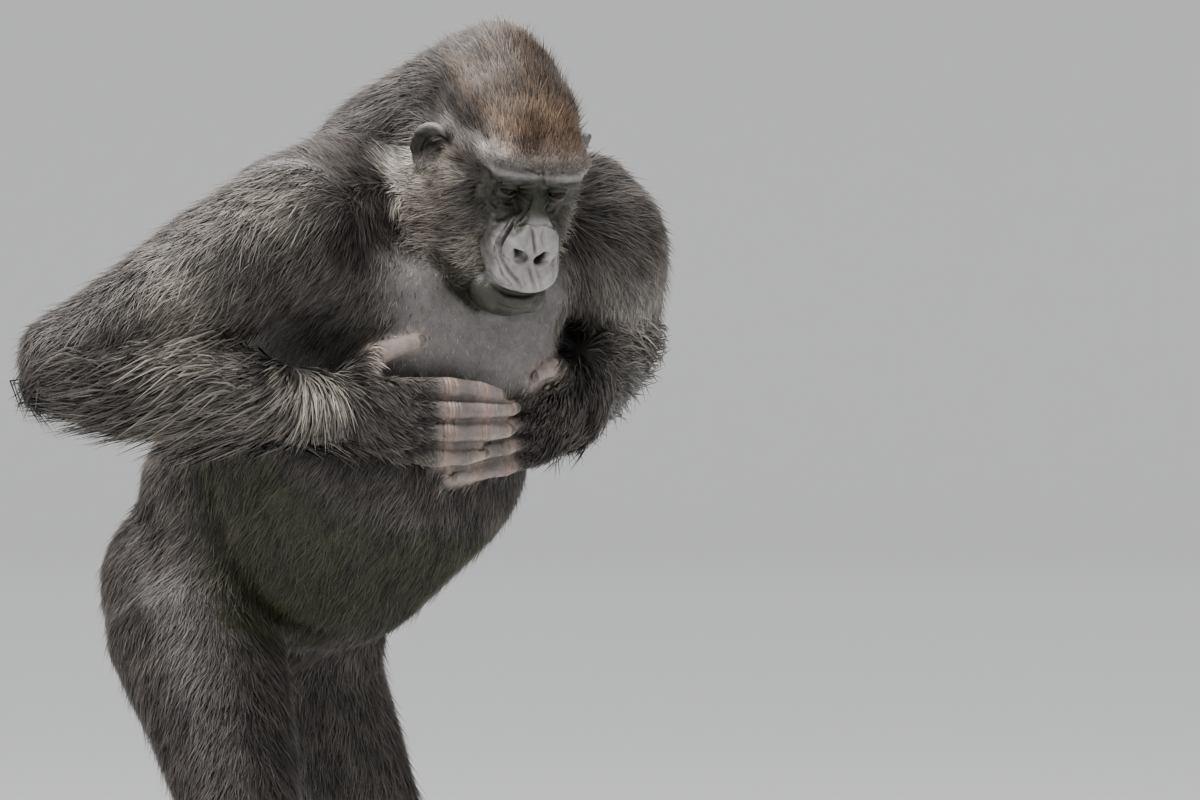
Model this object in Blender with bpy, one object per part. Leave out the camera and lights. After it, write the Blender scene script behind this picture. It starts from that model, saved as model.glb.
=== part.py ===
"""A western lowland gorilla as a still, life-size model: it stands on its hind legs, leans forward and looks
down past the hands that it holds together in front of its belly.

Everything is laid out in centimetres on the floor under the pelvis: x to the gorilla's left, f forward, z up.
Forms are hulls round ellipsoids. They are fused, smoothed and then parted with thin cuts into named parts."""

import math

import bmesh
import bpy
from mathutils import Matrix, Vector

CM = 0.01
GAP = 0.035  # between neighbouring parts

# ---------------------------------------------------------------- posture
LEAN = 32.0  # of the trunk, degrees from upright
HIP_R, KNEE_R, ANKLE_R = (-10.5, -1.0, 60.5), (-21.0, 16.5, 34.0), (-16.0, 6.5, 8.0)
HIP_L, KNEE_L, ANKLE_L = (10.0, -4.5, 60.5), (20.0, 3.0, 32.0), (15.5, -7.5, 8.0)
SHOULDER_R, ELBOW_R, WRIST_R = (-24.5, 25.8, 107.0), (-54.3, 15.2, 91.5), (-23.6, 31.4, 86.2)
SHOULDER_L, ELBOW_L, WRIST_L = (19.5, 37.2, 106.5), (45.8, 20.4, 97.3), (16.2, 36.5, 85.3)
HEAD_AT, HEAD_YAW, HEAD_PITCH, HEAD_ROLL = (-3.6, 41.3, 116.4), 28.0, 35.0, 3.5
TOE_OUT = 14.0

# ---------------------------------------------------------------- head sizes
EYE_AT = (3.2, 9.2, 0.9)
EYE_R = 1.32
EAR_AT = (8.0, 0.2, -0.6)
EAR_SIZE = 1.65
EAR_YAW, EAR_ROLL = 36.0, 6.0
MOUTH_ASIDE = 0.7  # the lips are drawn to the left

# ---------------------------------------------------------------- grids and face counts of the fused forms
BODY_GRID, BODY_FACES = 0.6, 1450
HEAD_GRID, HEAD_FACES = 0.34, 1540
EAR_GRID, EAR_FACES = 0.18, 190
ARM_GRID, ARM_FACES = 0.5, 330
HAND_GRID, HAND_FACES = 0.24, 470
FOOT_GRID, FOOT_FACES = 0.3, 310
HOLLOW_GRID, HOLLOW_FACES = 0.25, 150

for obj in list(bpy.data.objects):
    bpy.data.objects.remove(obj)


def P(x, f, z):
    return Vector((x, -f, z))


def turn(yaw=0.0, pitch=0.0, roll=0.0):
    """Yaw to its right, pitch down, roll its left side down."""
    return (
        Matrix.Rotation(math.radians(-yaw), 4, "Z")
        @ Matrix.Rotation(math.radians(pitch), 4, "X")
        @ Matrix.Rotation(math.radians(roll), 4, "Y")
    )


WORLD = Matrix()
HEAD = Matrix.Translation(P(*HEAD_AT)) @ turn(HEAD_YAW, HEAD_PITCH, HEAD_ROLL)


def unit_sphere():
    bm = bmesh.new()
    bmesh.ops.create_icosphere(bm, subdivisions=3, radius=1.0)
    points = [v.co.copy() for v in bm.verts]
    bm.free()
    return points


SPHERE = unit_sphere()


def ball(at, r, frame=WORLD, tilt=None):
    """Points of an ellipsoid. r is one radius or three (x, f, z), tilt turns it about its own centre."""
    radii = Vector((r, r, r)) if isinstance(r, (int, float)) else Vector(r)
    spin = tilt or Matrix()
    centre = P(*at)
    return [frame @ (centre + spin @ Vector(p * s for p, s in zip(q, radii))) for q in SPHERE]


def along(a, b, t):
    return tuple(p + (q - p) * t for p, q in zip(a, b))


def shifted(a, x=0.0, f=0.0, z=0.0):
    return (a[0] + x, a[1] + f, a[2] + z)


class Forms:
    """Collects hulls in one mesh."""

    def __init__(self):
        self.bm = bmesh.new()

    def hull(self, *balls):
        verts = [self.bm.verts.new(p * CM) for points in balls for p in points]
        made = bmesh.ops.convex_hull(self.bm, input=verts)
        loose = {g for g in made["geom_interior"] + made["geom_unused"] if isinstance(g, bmesh.types.BMVert)}
        bmesh.ops.delete(self.bm, geom=list(loose), context="VERTS")

    def chain(self, *balls):
        for a, b in zip(balls, balls[1:]):
            self.hull(a, b)

    def fused(self, name, voxel, smooth, faces):
        """One closed skin round all the forms, with about that many triangles."""
        mesh = bpy.data.meshes.new(name)
        self.bm.to_mesh(mesh)
        self.bm.free()
        obj = bpy.data.objects.new(name, mesh)
        bpy.context.scene.collection.objects.link(obj)
        m = obj.modifiers.new("fuse", "REMESH")
        m.mode, m.voxel_size, m.adaptivity = "VOXEL", voxel * CM, 0.0
        m = obj.modifiers.new("even", "SMOOTH")
        m.factor, m.iterations = 0.5, smooth
        apply_all(obj)
        count = sum(len(p.vertices) - 2 for p in obj.data.polygons)
        m = obj.modifiers.new("thin", "DECIMATE")
        m.ratio = faces / count
        apply_all(obj)
        return obj


def apply_all(obj):
    """Sets the evaluated mesh in place of the object's own and drops its modifiers."""
    bpy.context.view_layer.update()
    graph = bpy.context.evaluated_depsgraph_get()
    mesh = bpy.data.meshes.new_from_object(obj.evaluated_get(graph))
    old, obj.data = obj.data, mesh
    obj.modifiers.clear()
    bpy.data.meshes.remove(old)


def boolean(obj, cutter, operation="DIFFERENCE"):
    m = obj.modifiers.new("cut", "BOOLEAN")
    m.operation, m.object, m.solver = operation, cutter, "EXACT"
    apply_all(obj)


def remove(*objects):
    for o in objects:
        bpy.data.objects.remove(o)


def grown(obj, by=GAP):
    """A copy whose surface stands that far outside the first."""
    copy = obj.copy()
    copy.data = obj.data.copy()
    bpy.context.scene.collection.objects.link(copy)
    m = copy.modifiers.new("grow", "DISPLACE")
    m.strength, m.mid_level = by * CM, 0.0
    apply_all(copy)
    return copy


def plate(at, normal, wide, high, up=None, thick=GAP):
    """A thin board through a point, square to the normal. up gives the direction of its height."""
    n = Vector(normal).normalized()
    up = Vector(up or (0, 0, 1))
    side = up.cross(n).normalized()
    rise = n.cross(side)
    turned = Matrix((side, rise, n)).transposed().to_4x4()
    bm = bmesh.new()
    bmesh.ops.create_cube(bm, size=1.0)
    size = Matrix.Diagonal((wide * CM, high * CM, thick * CM, 1.0))
    bmesh.ops.transform(bm, matrix=Matrix.Translation(Vector(at) * CM) @ turned @ size, verts=bm.verts)
    mesh = bpy.data.meshes.new("plate")
    bm.to_mesh(mesh)
    bm.free()
    obj = bpy.data.objects.new("plate", mesh)
    bpy.context.scene.collection.objects.link(obj)
    return obj


def cut(obj, at, normal, wide, high, up=None):
    board = plate(at, normal, wide, high, up)
    boolean(obj, board)
    remove(board)


def islands(obj):
    """The separate closed pieces of a mesh as new objects, largest first."""
    bm = bmesh.new()
    bm.from_mesh(obj.data)
    left, found = set(bm.verts), []
    while left:
        stack, group = [left.pop()], set()
        while stack:
            v = stack.pop()
            group.add(v)
            for e in v.link_edges:
                w = e.other_vert(v)
                if w in left:
                    left.discard(w)
                    stack.append(w)
        found.append(sorted(v.index for v in group))
    bm.free()
    found.sort(key=lambda g: (-len(g), g[0]))
    pieces = []
    for group in found:
        bm = bmesh.new()
        bm.from_mesh(obj.data)
        bm.verts.ensure_lookup_table()
        keep = set(group)
        bmesh.ops.delete(bm, geom=[v for v in bm.verts if v.index not in keep], context="VERTS")
        mesh = bpy.data.meshes.new(obj.name)
        bm.to_mesh(mesh)
        bm.free()
        piece = bpy.data.objects.new(obj.name, mesh)
        bpy.context.scene.collection.objects.link(piece)
        pieces.append(piece)
    remove(obj)
    return pieces


def middle(obj):
    vs = [v.co for v in obj.data.vertices]
    return sum(vs, Vector()) / len(vs) / CM


def largest(obj):
    name = obj.name
    pieces = islands(obj)
    remove(*pieces[1:])
    pieces[0].name = name
    return pieces[0]


# ---------------------------------------------------------------- trunk, neck, head and legs
back = turn(pitch=LEAN)
body = Forms()

# pelvis, belly and loins
body.hull(ball((0, -1, 66), (18.5, 14.5, 13.5)))
body.hull(ball((0, 22.2, 81.3), (19.5, 13.8, 16.6)), ball((0, 11.0, 68.3), (16, 12.2, 12.3)))
body.hull(ball((0, 0, 73), (16.5, 12.6, 10)))
body.hull(ball((0, 2, 75), (18.5, 14.5, 14)), ball((0, 19, 95), (20.5, 17, 17), tilt=back))
for side in (-1, 1):
    body.hull(ball((side * 9.5, -5.0, 64), (9.6, 9.6, 11.5)), ball((side * 11, 0, 58), (9, 9.5, 8)))
# rib cage, chest muscles, flanks
body.hull(ball((0, 21.5, 97), (21.5, 19.5, 19.5), tilt=back), ball((0, 23.5, 104), (19, 14, 11.5), tilt=back))
body.hull(ball((-8.5, 31.6, 98.6), (10.5, 7.0, 7.6), tilt=back), ball((-15, 27.6, 102.6), (8, 6.3, 6.8)))
body.hull(ball((8.5, 32.4, 100.5), (10.5, 7.2, 8.4), tilt=back), ball((15, 29.0, 104), (8, 6.6, 7)))
for side in (-1, 1):
    body.hull(ball((side * 11.5, 14, 108), (9.5, 7.5, 9)), ball((side * 16, 21, 102), (7, 8, 9)))
shoulder_blades = [ball((side * 10.5, 14.5, 107.5), (9.5, 7.2, 9)) for side in (-1, 1)]
body.hull(*shoulder_blades, *[ball((side * 8.5, 4.8, 88), (9.5, 8, 10)) for side in (-1, 1)])
body.hull(ball((0, 20.5, 112), (11, 8, 7.5)), ball((0, 13.0, 104), (12, 8, 9)))
# shoulder girdle and the hump of the neck
girdle = ball((-16, 23, 110.5), (8.5, 8.5, 7.5)), ball((15, 26, 110.5), (8.5, 8.5, 7.5))
body.hull(ball((0, 22.0, 114.5), (12, 7.6, 7.4)), *girdle)
body.hull(ball((-15, 24, 109), 8.6), ball(SHOULDER_R, 7.2))
body.hull(ball((12, 29, 108.5), 8.6), ball(SHOULDER_L, 7.0))
body.chain(
    ball((0, -6.5, 2.5), (6.4, 3, 6.4), HEAD),
    ball((0, -10.5, 2.2), (8.8, 5.4, 9.2), HEAD),
    ball((0, 22.4, 115.7), (13.0, 9.2, 9.3)),
)
body.chain(
    ball((0, -3, -6.5), (5.4, 2, 3.4), HEAD),
    ball((0, -7.5, -7.0), (8.0, 5.5, 5.8), HEAD),
    ball((0, 26, 108), (12, 7, 7)),
)

# legs
for hip, knee, ankle in ((HIP_R, KNEE_R, ANKLE_R), (HIP_L, KNEE_L, ANKLE_L)):
    thick = 1.0 if hip is HIP_R else 0.94
    outward = math.copysign(1.0, hip[0])
    body.chain(
        ball(shifted(hip, x=outward, f=0.5, z=-2), (10.6 * thick, 11.2 * thick, 10)),
        ball(along(hip, knee, 0.42), (9.2 * thick, 9.6 * thick, 9.0)),
        ball(along(hip, knee, 0.72), (8.0 * thick, 8.2 * thick, 7.6)),
        ball(shifted(knee, z=-0.5), (6.6, 6.8, 6.8)),
    )
    body.chain(
        ball(shifted(knee, f=-1.0), (6.6, 6.8, 6.6)),
        ball(shifted(along(knee, ankle, 0.36), f=-1.4), (6.4, 6.8, 6.0)),
        ball(shifted(along(knee, ankle, 0.75)), (5.2, 5.6, 5.0)),
        ball(shifted(ankle, z=-0.2), (4.4, 4.7, 4.4)),
    )

gorilla = body.fused("gorilla", voxel=BODY_GRID, smooth=6, faces=BODY_FACES)

# ---------------------------------------------------------------- head
def h(x, f, z, *r):
    """A ball placed from the middle of the head."""
    return ball((x, f, z), r if len(r) > 1 else r[0], HEAD)


head = Forms()
head.hull(h(0, -5.5, 2.5, 7.6, 5, 7.8), h(0, -10.5, 2.2, 8.8, 5.4, 9.2), h(0, -15, -0.6, 9.6, 5.2, 9.6))
head.hull(h(0, -1, -5.5, 6.8, 5, 4.4), h(0, -7.5, -7.0, 8.0, 5.5, 5.8), h(0, -13, -9.5, 8.8, 5.5, 6))

# skull: brain case with the crest, temples and forehead
head.hull(h(0, -6.2, 4.4, 8.4, 8.4, 8.2), h(0, -6.8, 8.6, 4.8, 6.8, 4.9))
head.hull(h(-3.4, -1, 5.6, 5.0, 7, 4.8), h(3.4, -1, 5.6, 5.0, 7, 4.8))
head.hull(h(0, 2.5, 4.6, 7.0, 7.4, 4.9), h(0, -2, 9, 3.6, 4, 3.6))
temples = h(-6.0, 6.6, 3.9, 1.8, 2.0, 1.9), h(6.0, 6.6, 3.9, 1.8, 2.0, 1.9)
head.hull(*temples, h(0, 9.0, 5.2, 3.0, 1.8, 2.0), h(0, 2, 5, 6.4, 4, 4))
for s in (-1, 1):
    # brow, what joins it to the lids, and the outer corner of the eye
    head.chain(
        h(0, 10.3, 5.1, 2.2, 1.4, 1.5),
        h(s * 3.8, 9.9, 5.1, 2.2, 1.5, 1.6),
        h(s * 6.8, 7.7, 4.2, 1.5, 1.5, 1.6),
        h(s * 7.6, 4.6, 2.1, 1.3, 1.8, 2.0),
    )
    head.hull(
        h(s * 3.2, 9.9, 4.4, 2.8, 1.2, 1.0),
        h(s * 3.4, 9.8, 3.4, 2.4, 1.1, 0.9),
        h(s * 1.2, 10.0, 3.4, 1.4, 1.2, 0.9),
    )
    corner = h(s * 6.2, 7.2, 0.2, 1.5, 1.5, 1.6), h(s * 5.2, 8.2, 2.4, 1.2, 1, 1.6)
    head.hull(h(s * 6.4, 7.5, 4.0, 1.4, 1.3, 1.4), *corner)
    # side of the face under the eye, cheek, jaw and ruff
    head.hull(
        h(s * 5.4, 7.6, -1.4, 2.0, 1.8, 1.8),
        h(s * 7.2, 5.0, -1.0, 1.7, 2.0, 2.0),
        h(s * 7.6, 0, -1.4, 1.9, 3.0, 3.0),
        h(s * 4.6, 6.8, -6.0, 3.2, 3.2, 3.4),
        h(s * 6.0, 1.0, -7.0, 3.0, 4.0, 4.0),
    )
    head.hull(h(s * 6.2, 2.4, 1.6, 2.6, 4.6, 3.6), h(s * 6.0, -2.0, 2.0, 2.8, 4.0, 4.4))
    head.hull(
        h(s * 7.0, 1.0, -2.4, 2.1, 3.0, 3.0),
        h(s * 5.0, 6.4, -5.4, 2.9, 3.0, 3.2),
        h(s * 4.4, 7.2, -11.2, 2.8, 3.6, 3.2),
        h(s * 6.8, 0.4, -8.4, 3.6, 4.4, 4.2),
    )
    head.hull(
        h(s * 7.8, -4.2, -4.4, 4.0, 5.0, 5.2),
        h(s * 7.2, -0.2, -8.0, 4.3, 5.0, 4.6),
        h(s * 4.2, 7.2, -11.6, 2.8, 3.6, 3.2),
    )
    head.hull(h(s * 4.0, 7.4, -11.0, 2.8, 3.6, 3.2), h(s * 2.4 + MOUTH_ASIDE / 2, 11.8, -12.6, 2.4, 2.5, 2.3))
    # nose wing, the pad above it, and the corner of the mouth
    head.hull(h(s * 2.2, 13.2, -4.2, 2.1, 1.9, 1.8), h(s * 1.5, 12.6, -2.4, 1.7, 1.6, 1.6))
    head.hull(h(s * 1.9, 13.5, -3.0, 1.5, 1.4, 1.3), h(s * 1.0, 12.6, -1.6, 1.2, 1.3, 1.3))
    head.hull(h(s * 2.0 + MOUTH_ASIDE, 12.7, -7.9, 2.3, 2.8, 2.5), h(s * 3.2, 8.0, -5.0, 2.8, 3, 4.0))
    head.hull(h(s * 2.6, 12.4, -6.0, 1.7, 1.8, 2.0), h(s * 2.1 + MOUTH_ASIDE, 12.6, -8.0, 2.1, 2.8, 2.3))
# muzzle, nose, lips, chin
head.hull(h(0, 6, -3.5, 5.8, 5, 5.2), h(MOUTH_ASIDE / 2, 11.0, -7.6, 4.6, 4.4, 4.2))
head.hull(h(0, 9.4, 1.6, 1.2, 1.3, 1.6), h(0, 12.2, -1.6, 1.5, 1.4, 1.5), h(0, 14.1, -3.9, 1.6, 1.4, 1.5))
head.hull(h(MOUTH_ASIDE, 12.8, -7.3, 3.8, 3.4, 2.4), h(MOUTH_ASIDE, 12.9, -8.9, 4.0, 3.0, 1.6))
chin = h(MOUTH_ASIDE / 2, 11.9, -12.2, 4.2, 3.2, 1.9), h(MOUTH_ASIDE / 2, 10.4, -13.4, 4.2, 3.5, 2.2)
head.hull(*chin, h(0, 6, -10.5, 4.6, 4.5, 3.4))

head = head.fused("head", voxel=HEAD_GRID, smooth=4, faces=HEAD_FACES)

# eye sockets and nostrils
for s in (-1, 1):
    x, f, z = s * EYE_AT[0], EYE_AT[1], EYE_AT[2]
    hollow = Forms()
    hollow.hull(h(x, f + 1.7, z + 0.1, 1.9, 1.6, 1.1), h(x, f + 4.5, z - 0.6, 2.4, 1.8, 1.6))
    hollow.hull(h(s * 1.55, 15.3, -4.9, 0.75, 1.5, 0.5), h(s * 2.1, 15.0, -4.4, 0.7, 1.4, 0.5))
    hollow = hollow.fused("hollow", voxel=HOLLOW_GRID, smooth=2, faces=HOLLOW_FACES)
    boolean(head, hollow)
    remove(hollow)


def eyeball(name, side, r):
    bm = bmesh.new()
    bmesh.ops.create_uvsphere(bm, u_segments=12, v_segments=8, radius=r * CM)
    centre = HEAD @ P(side * EYE_AT[0], EYE_AT[1], EYE_AT[2]) * CM
    forwards = HEAD.to_3x3().to_4x4() @ Matrix.Rotation(math.radians(90), 4, "X")
    bmesh.ops.transform(bm, matrix=Matrix.Translation(centre) @ forwards, verts=bm.verts)
    mesh = bpy.data.meshes.new(name)
    bm.to_mesh(mesh)
    bm.free()
    obj = bpy.data.objects.new(name, mesh)
    bpy.context.scene.collection.objects.link(obj)
    return obj


def ear(name, side):
    """A rounded shell, open forwards, with a rim round its upper edge and a lobe."""
    leaf = HEAD @ Matrix.Translation(P(side * EAR_AT[0], EAR_AT[1], EAR_AT[2]))
    leaf = leaf @ turn(yaw=side * EAR_YAW, roll=side * EAR_ROLL)

    def bead(x, f, z, r):
        return ball((x * EAR_SIZE, f * EAR_SIZE, z * EAR_SIZE), tuple(c * EAR_SIZE for c in r), leaf)

    forms = Forms()
    forms.hull(bead(0, -0.3, 0.2, (0.5, 1.5, 2.2)), bead(-side * 1.2, 0.5, -0.4, (0.7, 1.0, 1.8)))
    rim = []
    for i in range(10):
        a = math.radians(-62 + 26 * i)
        rim.append(bead(side * 0.38, -0.3 - 1.55 * math.cos(a), 0.45 + 2.1 * math.sin(a), (0.34, 0.34, 0.34)))
    forms.chain(*rim)
    forms.hull(bead(0, 0.2, -2.1, (0.42, 0.75, 0.75)), bead(-side * 0.4, 0.4, -1.4, (0.5, 0.8, 0.8)))
    return forms.fused(name, voxel=EAR_GRID, smooth=2, faces=EAR_FACES)


nodes = []
for side, word in ((-1, "right"), (1, "left")):
    socket = eyeball("socket", side, EYE_R + GAP)
    boolean(head, socket)
    remove(socket)
    nodes.append(eyeball("eye_" + word, side, EYE_R))
    leaf = ear("ear_" + word, side)
    hole = grown(leaf, GAP * 1.4)
    boolean(head, hole)
    remove(hole)
    nodes.append(leaf)

face_way = HEAD.to_3x3()
cut(head, HEAD @ P(0, -8.6, -3.0), face_way @ P(0, 0.95, 0.3), 60, 60, up=face_way @ P(0, -0.3, 0.95))
head = largest(head)
nodes.append(head)
shape = grown(head, GAP * 1.8)
boolean(gorilla, shape)
remove(shape)
gorilla = largest(gorilla)

# ---------------------------------------------------------------- arms
arms = {}
ARMS = (("right", SHOULDER_R, ELBOW_R, WRIST_R), ("left", SHOULDER_L, ELBOW_L, WRIST_L))
for word, shoulder, elbow, wrist in ARMS:
    out = math.copysign(1.0, elbow[0])
    arm = Forms()
    arm.chain(
        ball(shoulder, (9.0, 9.0, 9.0)),
        ball(along(shoulder, elbow, 0.24), (8.6, 8.6, 8.8)),
        ball(along(shoulder, elbow, 0.55), (7.0, 7.2, 7.2)),
        ball(along(shoulder, elbow, 0.86), (5.8, 6.0, 6.0)),
        ball(elbow, (4.9, 5.2, 5.4)),
    )
    lift = 0.0 if word == "right" else 1.0  # the left forearm is turned with its muscles up
    arm.chain(
        ball(elbow, (5.4, 5.6, 6.0)),
        ball(shifted(along(elbow, wrist, 0.22), z=-0.6), (6.2, 6.2, 6.8)),
        ball(shifted(along(elbow, wrist, 0.5), z=-0.6 + lift * 1.4), (5.6, 5.4, 6.4 + lift * 0.6)),
        ball(shifted(along(elbow, wrist, 0.8), z=-0.2 + lift * 1.6), (4.4, 4.2, 5.2 + lift * 0.8)),
        ball(shifted(wrist, z=-0.4 + lift * 0.8), (3.4, 3.3, 4.4 + lift * 0.4)),
    )
    # the coat that hangs from the elbow and the forearm
    point = ball(shifted(elbow, x=out * 0.8, z=0.2), (3.6, 4, 4.2))
    arm.hull(point, ball(shifted(elbow, x=out * 0.6, z=-3.6), (2.0, 2.4, 2.2)))
    arm.hull(
        ball(shifted(along(elbow, wrist, 0.2), z=-4.4), (2.6, 2.2, 2.2)),
        ball(shifted(along(elbow, wrist, 0.5), z=-5.6), (2.8, 2.2, 2.1)),
        ball(shifted(along(elbow, wrist, 0.86), z=-3.6), (2.2, 2.0, 1.9)),
        ball(shifted(along(elbow, wrist, 0.45), z=-1), (5, 4, 4)),
    )
    arm = arm.fused("arm_" + word, voxel=ARM_GRID, smooth=5, faces=ARM_FACES)
    shape = grown(gorilla)
    boolean(arm, shape)
    remove(shape)
    arms[word] = largest(arm)


# ---------------------------------------------------------------- hands
def hand(word, wrist, tips, back_of_hand, fingers, thumb):
    """fingers: knuckle, middle joint and tip as (along the hand, towards the thumb, outwards), with radii."""
    reach = (P(*tips) - P(*wrist)).normalized()
    outward = Vector(back_of_hand)
    outward = (outward - reach * outward.dot(reach)).normalized()
    radial = reach.cross(outward)
    if radial.z < 0:
        radial = -radial
    start = P(*wrist)

    def at(s, t, n):
        p = start + reach * s + radial * t + outward * n
        return (p.x, -p.y, p.z)

    forms = Forms()
    forms.hull(ball(at(-1.5, -0.3, 0), (3.2, 3.1, 4.2)), ball(at(3, -0.6, 0), (2.6, 2.4, 4.3)))
    knuckles = [ball(at(*knuckle), radius * 1.12) for knuckle, _, _, _, radius in fingers]
    forms.hull(ball(at(3, -0.6, 0), (2.5, 2.3, 4.2)), *knuckles)
    forms.hull(ball(at(0.5, 1.6, -0.4), 2.3), ball(at(3.6, 4.0, -0.8), 1.7), ball(at(6.5, 2.4, -0.6), 1.6))
    for knuckle, joint, second, tip, radius in fingers:
        forms.chain(
            ball(at(*knuckle), radius * 1.06),
            ball(at(*along(knuckle, joint, 0.55)), radius * 0.94),
            ball(at(*joint), radius * 1.04),
            ball(at(*along(joint, second, 0.55)), radius * 0.96),
            ball(at(*second), radius * 0.95),
            ball(at(*tip), radius * 0.72),
        )
    forms.chain(*[ball(at(*p), r) for p, r in thumb])
    return forms.fused("hand_" + word, voxel=HAND_GRID, smooth=2, faces=HAND_FACES)


fingers_right = [
    ((8.0, 2.3, 0.5), (14.6, 2.5, 0.9), (19.0, 2.2, 0.4), (21.9, 1.7, -0.3), 1.22),
    ((8.4, -0.3, 0.7), (15.0, -0.3, 1.1), (20.2, -0.1, 0.6), (23.6, 0.2, -0.2), 1.34),
    ((8.4, -2.9, 0.6), (14.5, -2.9, 1.0), (19.6, -2.7, 0.5), (23.0, -2.4, -0.2), 1.33),
    ((8.2, -5.3, 0.2), (13.4, -5.9, 0.5), (17.4, -5.7, 0.1), (19.9, -5.3, -0.5), 1.17),
]
thumb_right = [
    ((1.6, 2.6, -0.6), 2.0),
    ((4.6, 5.6, -1.1), 1.45),
    ((8.0, 7.0, -1.6), 1.12),
    ((10.9, 7.7, -1.9), 0.9),
]
fingers_left = [
    ((8.6, 2.9, 0.3), (15.2, 3.0, 0.2), (19.4, 2.8, -0.7), (22.2, 2.5, -1.7), 1.15),
    ((9.2, 0.5, 0.5), (15.8, 0.5, 0.4), (20.6, 0.5, -0.8), (23.9, 0.4, -2.1), 1.22),
    ((9.2, -1.9, 0.4), (15.6, -2.0, 0.3), (20.4, -2.0, -0.9), (23.5, -2.0, -2.2), 1.2),
    ((9.0, -4.2, 0.1), (14.8, -4.4, 0.0), (19.2, -4.4, -1.0), (21.9, -4.3, -2.0), 1.08),
]
thumb_left = [
    ((1.2, 2.8, 0.0), 2.0),
    ((3.0, 5.4, 0.9), 1.45),
    ((6.2, 5.7, 1.2), 1.2),
    ((8.7, 5.0, 1.0), 0.95),
]

left = hand("left", WRIST_L, (-8.5, 37.0, 81.5), P(0, 1, 0), fingers_left, thumb_left)
right = hand("right", WRIST_R, (-1.5, 42.3, 85.6), P(-0.443, 0.898, 0), fingers_right, thumb_right)
for word, obj in (("left", left), ("right", right)):
    others = [gorilla, head, arms["left"], arms["right"]] + ([left] if word == "right" else [])
    for other in others:
        shape = grown(other)
        boolean(obj, shape)
        remove(shape)
    obj = largest(obj)
    if word == "left":
        left = obj
    nodes.append(obj)

# ---------------------------------------------------------------- feet
TOES = ((-2.6, 8.0), (-0.6, 8.6), (1.5, 8.0), (3.4, 6.6))  # place across the foot and length of each


def foot(word, ankle, side):
    """Heel, arch, ball, four toes and a great toe that stands apart, cut flat at the floor."""
    stand = Matrix.Translation(P(ankle[0], ankle[1], 0)) @ turn(yaw=-side * TOE_OUT)

    def b(x, f, z, *r):
        return ball((x, f, z), r if len(r) > 1 else r[0], stand)

    forms = Forms()
    forms.chain(
        b(0, -0.5, 8.5, 4.1, 4.5, 3.6),
        b(0, -1.0, 4.0, 3.7, 4.8, 3.9),
        b(0, -3.8, 2.6, 3.3, 3.4, 3.2),
    )
    forms.chain(
        b(0, 0.5, 5.6, 3.8, 4.6, 3.8),
        b(side * 0.3, 6.5, 3.4, 4.4, 4.0, 3.2),
        b(side * 0.8, 13.0, 1.9, 4.9, 3.0, 2.1),
    )
    forms.hull(b(0, -2.5, 1.4, 3.4, 4.2, 2.2), b(side * 0.6, 12.5, 1.2, 4.9, 3.2, 1.8))
    for i, (toe_x, length) in enumerate(TOES):
        x, splay = side * (0.9 + toe_x), side * (i - 1)
        forms.chain(
            b(x, 13.5, 1.9, 1.25, 1.6, 1.5),
            b(x + 0.35 * splay, 13.5 + length * 0.55, 2.3, 1.2),
            b(x + 0.45 * splay, 13.5 + length, 1.0, 1.1, 1.2, 1.15),
        )
    forms.chain(
        b(-side * 2.4, 5.0, 2.4, 2.4, 2.6, 2.4),
        b(-side * 5.6, 9.6, 1.9, 1.9, 2.0, 1.9),
        b(-side * 6.9, 13.6, 1.2, 1.5, 1.7, 1.35),
    )
    obj = forms.fused("foot_" + word, voxel=FOOT_GRID, smooth=3, faces=FOOT_FACES)
    ground = plate((ankle[0], -ankle[1] - 5, -5.0), (0, 0, 1), 60, 60, up=(0, 1, 0), thick=10.0)
    boolean(obj, ground)
    remove(ground)
    shape = grown(gorilla)
    boolean(obj, shape)
    remove(shape)
    return largest(obj)


nodes += [foot("right", ANKLE_R, -1), foot("left", ANKLE_L, 1)]

# ---------------------------------------------------------------- parting cuts
axis = back @ Vector((0, 0, 1))
cut(gorilla, P(0, 24, 115.5), P(0, 0.36, 0.93), 70, 60, up=(0, 1, 0))
cut(gorilla, P(0, 12.5, 84), axis, 60, 60, up=(0, 1, 0))
cut(gorilla, P(0, 6, 66.5), back @ P(0, 0.1, 1.0), 60, 60, up=(0, 1, 0))
for side, hip, knee, ankle in ((-1, HIP_R, KNEE_R, ANKLE_R), (1, HIP_L, KNEE_L, ANKLE_L)):
    cut(gorilla, P(hip[0] * 1.12, hip[1] + 3.4, 54.6), P(side * 0.42, 0.32, -0.85), 31, 35, up=(0, 1, 0))
    shin, thigh = (P(*knee) - P(*ankle)).normalized(), (P(*hip) - P(*knee)).normalized()
    cut(gorilla, P(*knee), shin + thigh, 22, 22, up=(0, 1, 0))


def name_by_place(pieces, seeds):
    """Gives each piece the name of the seed that its middle is nearest to."""
    for piece in pieces:
        piece.name = min(seeds, key=lambda s: (middle(piece) - seeds[s]).length)
        nodes.append(piece)


name_by_place(islands(gorilla), {
    "neck": P(0, 26, 119),
    "chest": P(0, 22, 99),
    "abdomen": P(0, 14, 77),
    "pelvis": P(0, -1, 62),
    "thigh_right": P(*along(HIP_R, KNEE_R, 0.5)),
    "thigh_left": P(*along(HIP_L, KNEE_L, 0.5)),
    "shin_right": P(*along(KNEE_R, ANKLE_R, 0.5)),
    "shin_left": P(*along(KNEE_L, ANKLE_L, 0.5)),
})
for word, shoulder, elbow, wrist in ARMS:
    to_shoulder, to_wrist = (P(*shoulder) - P(*elbow)).normalized(), (P(*wrist) - P(*elbow)).normalized()
    bend = (to_shoulder + to_wrist).normalized()
    cut(arms[word], P(*elbow) + bend * 16.0, to_shoulder - to_wrist, 44, 66, up=bend)
    name_by_place(islands(arms[word]), {
        "upper_arm_" + word: P(*along(shoulder, elbow, 0.5)),
        "forearm_" + word: P(*along(elbow, wrist, 0.5)),
    })

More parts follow.
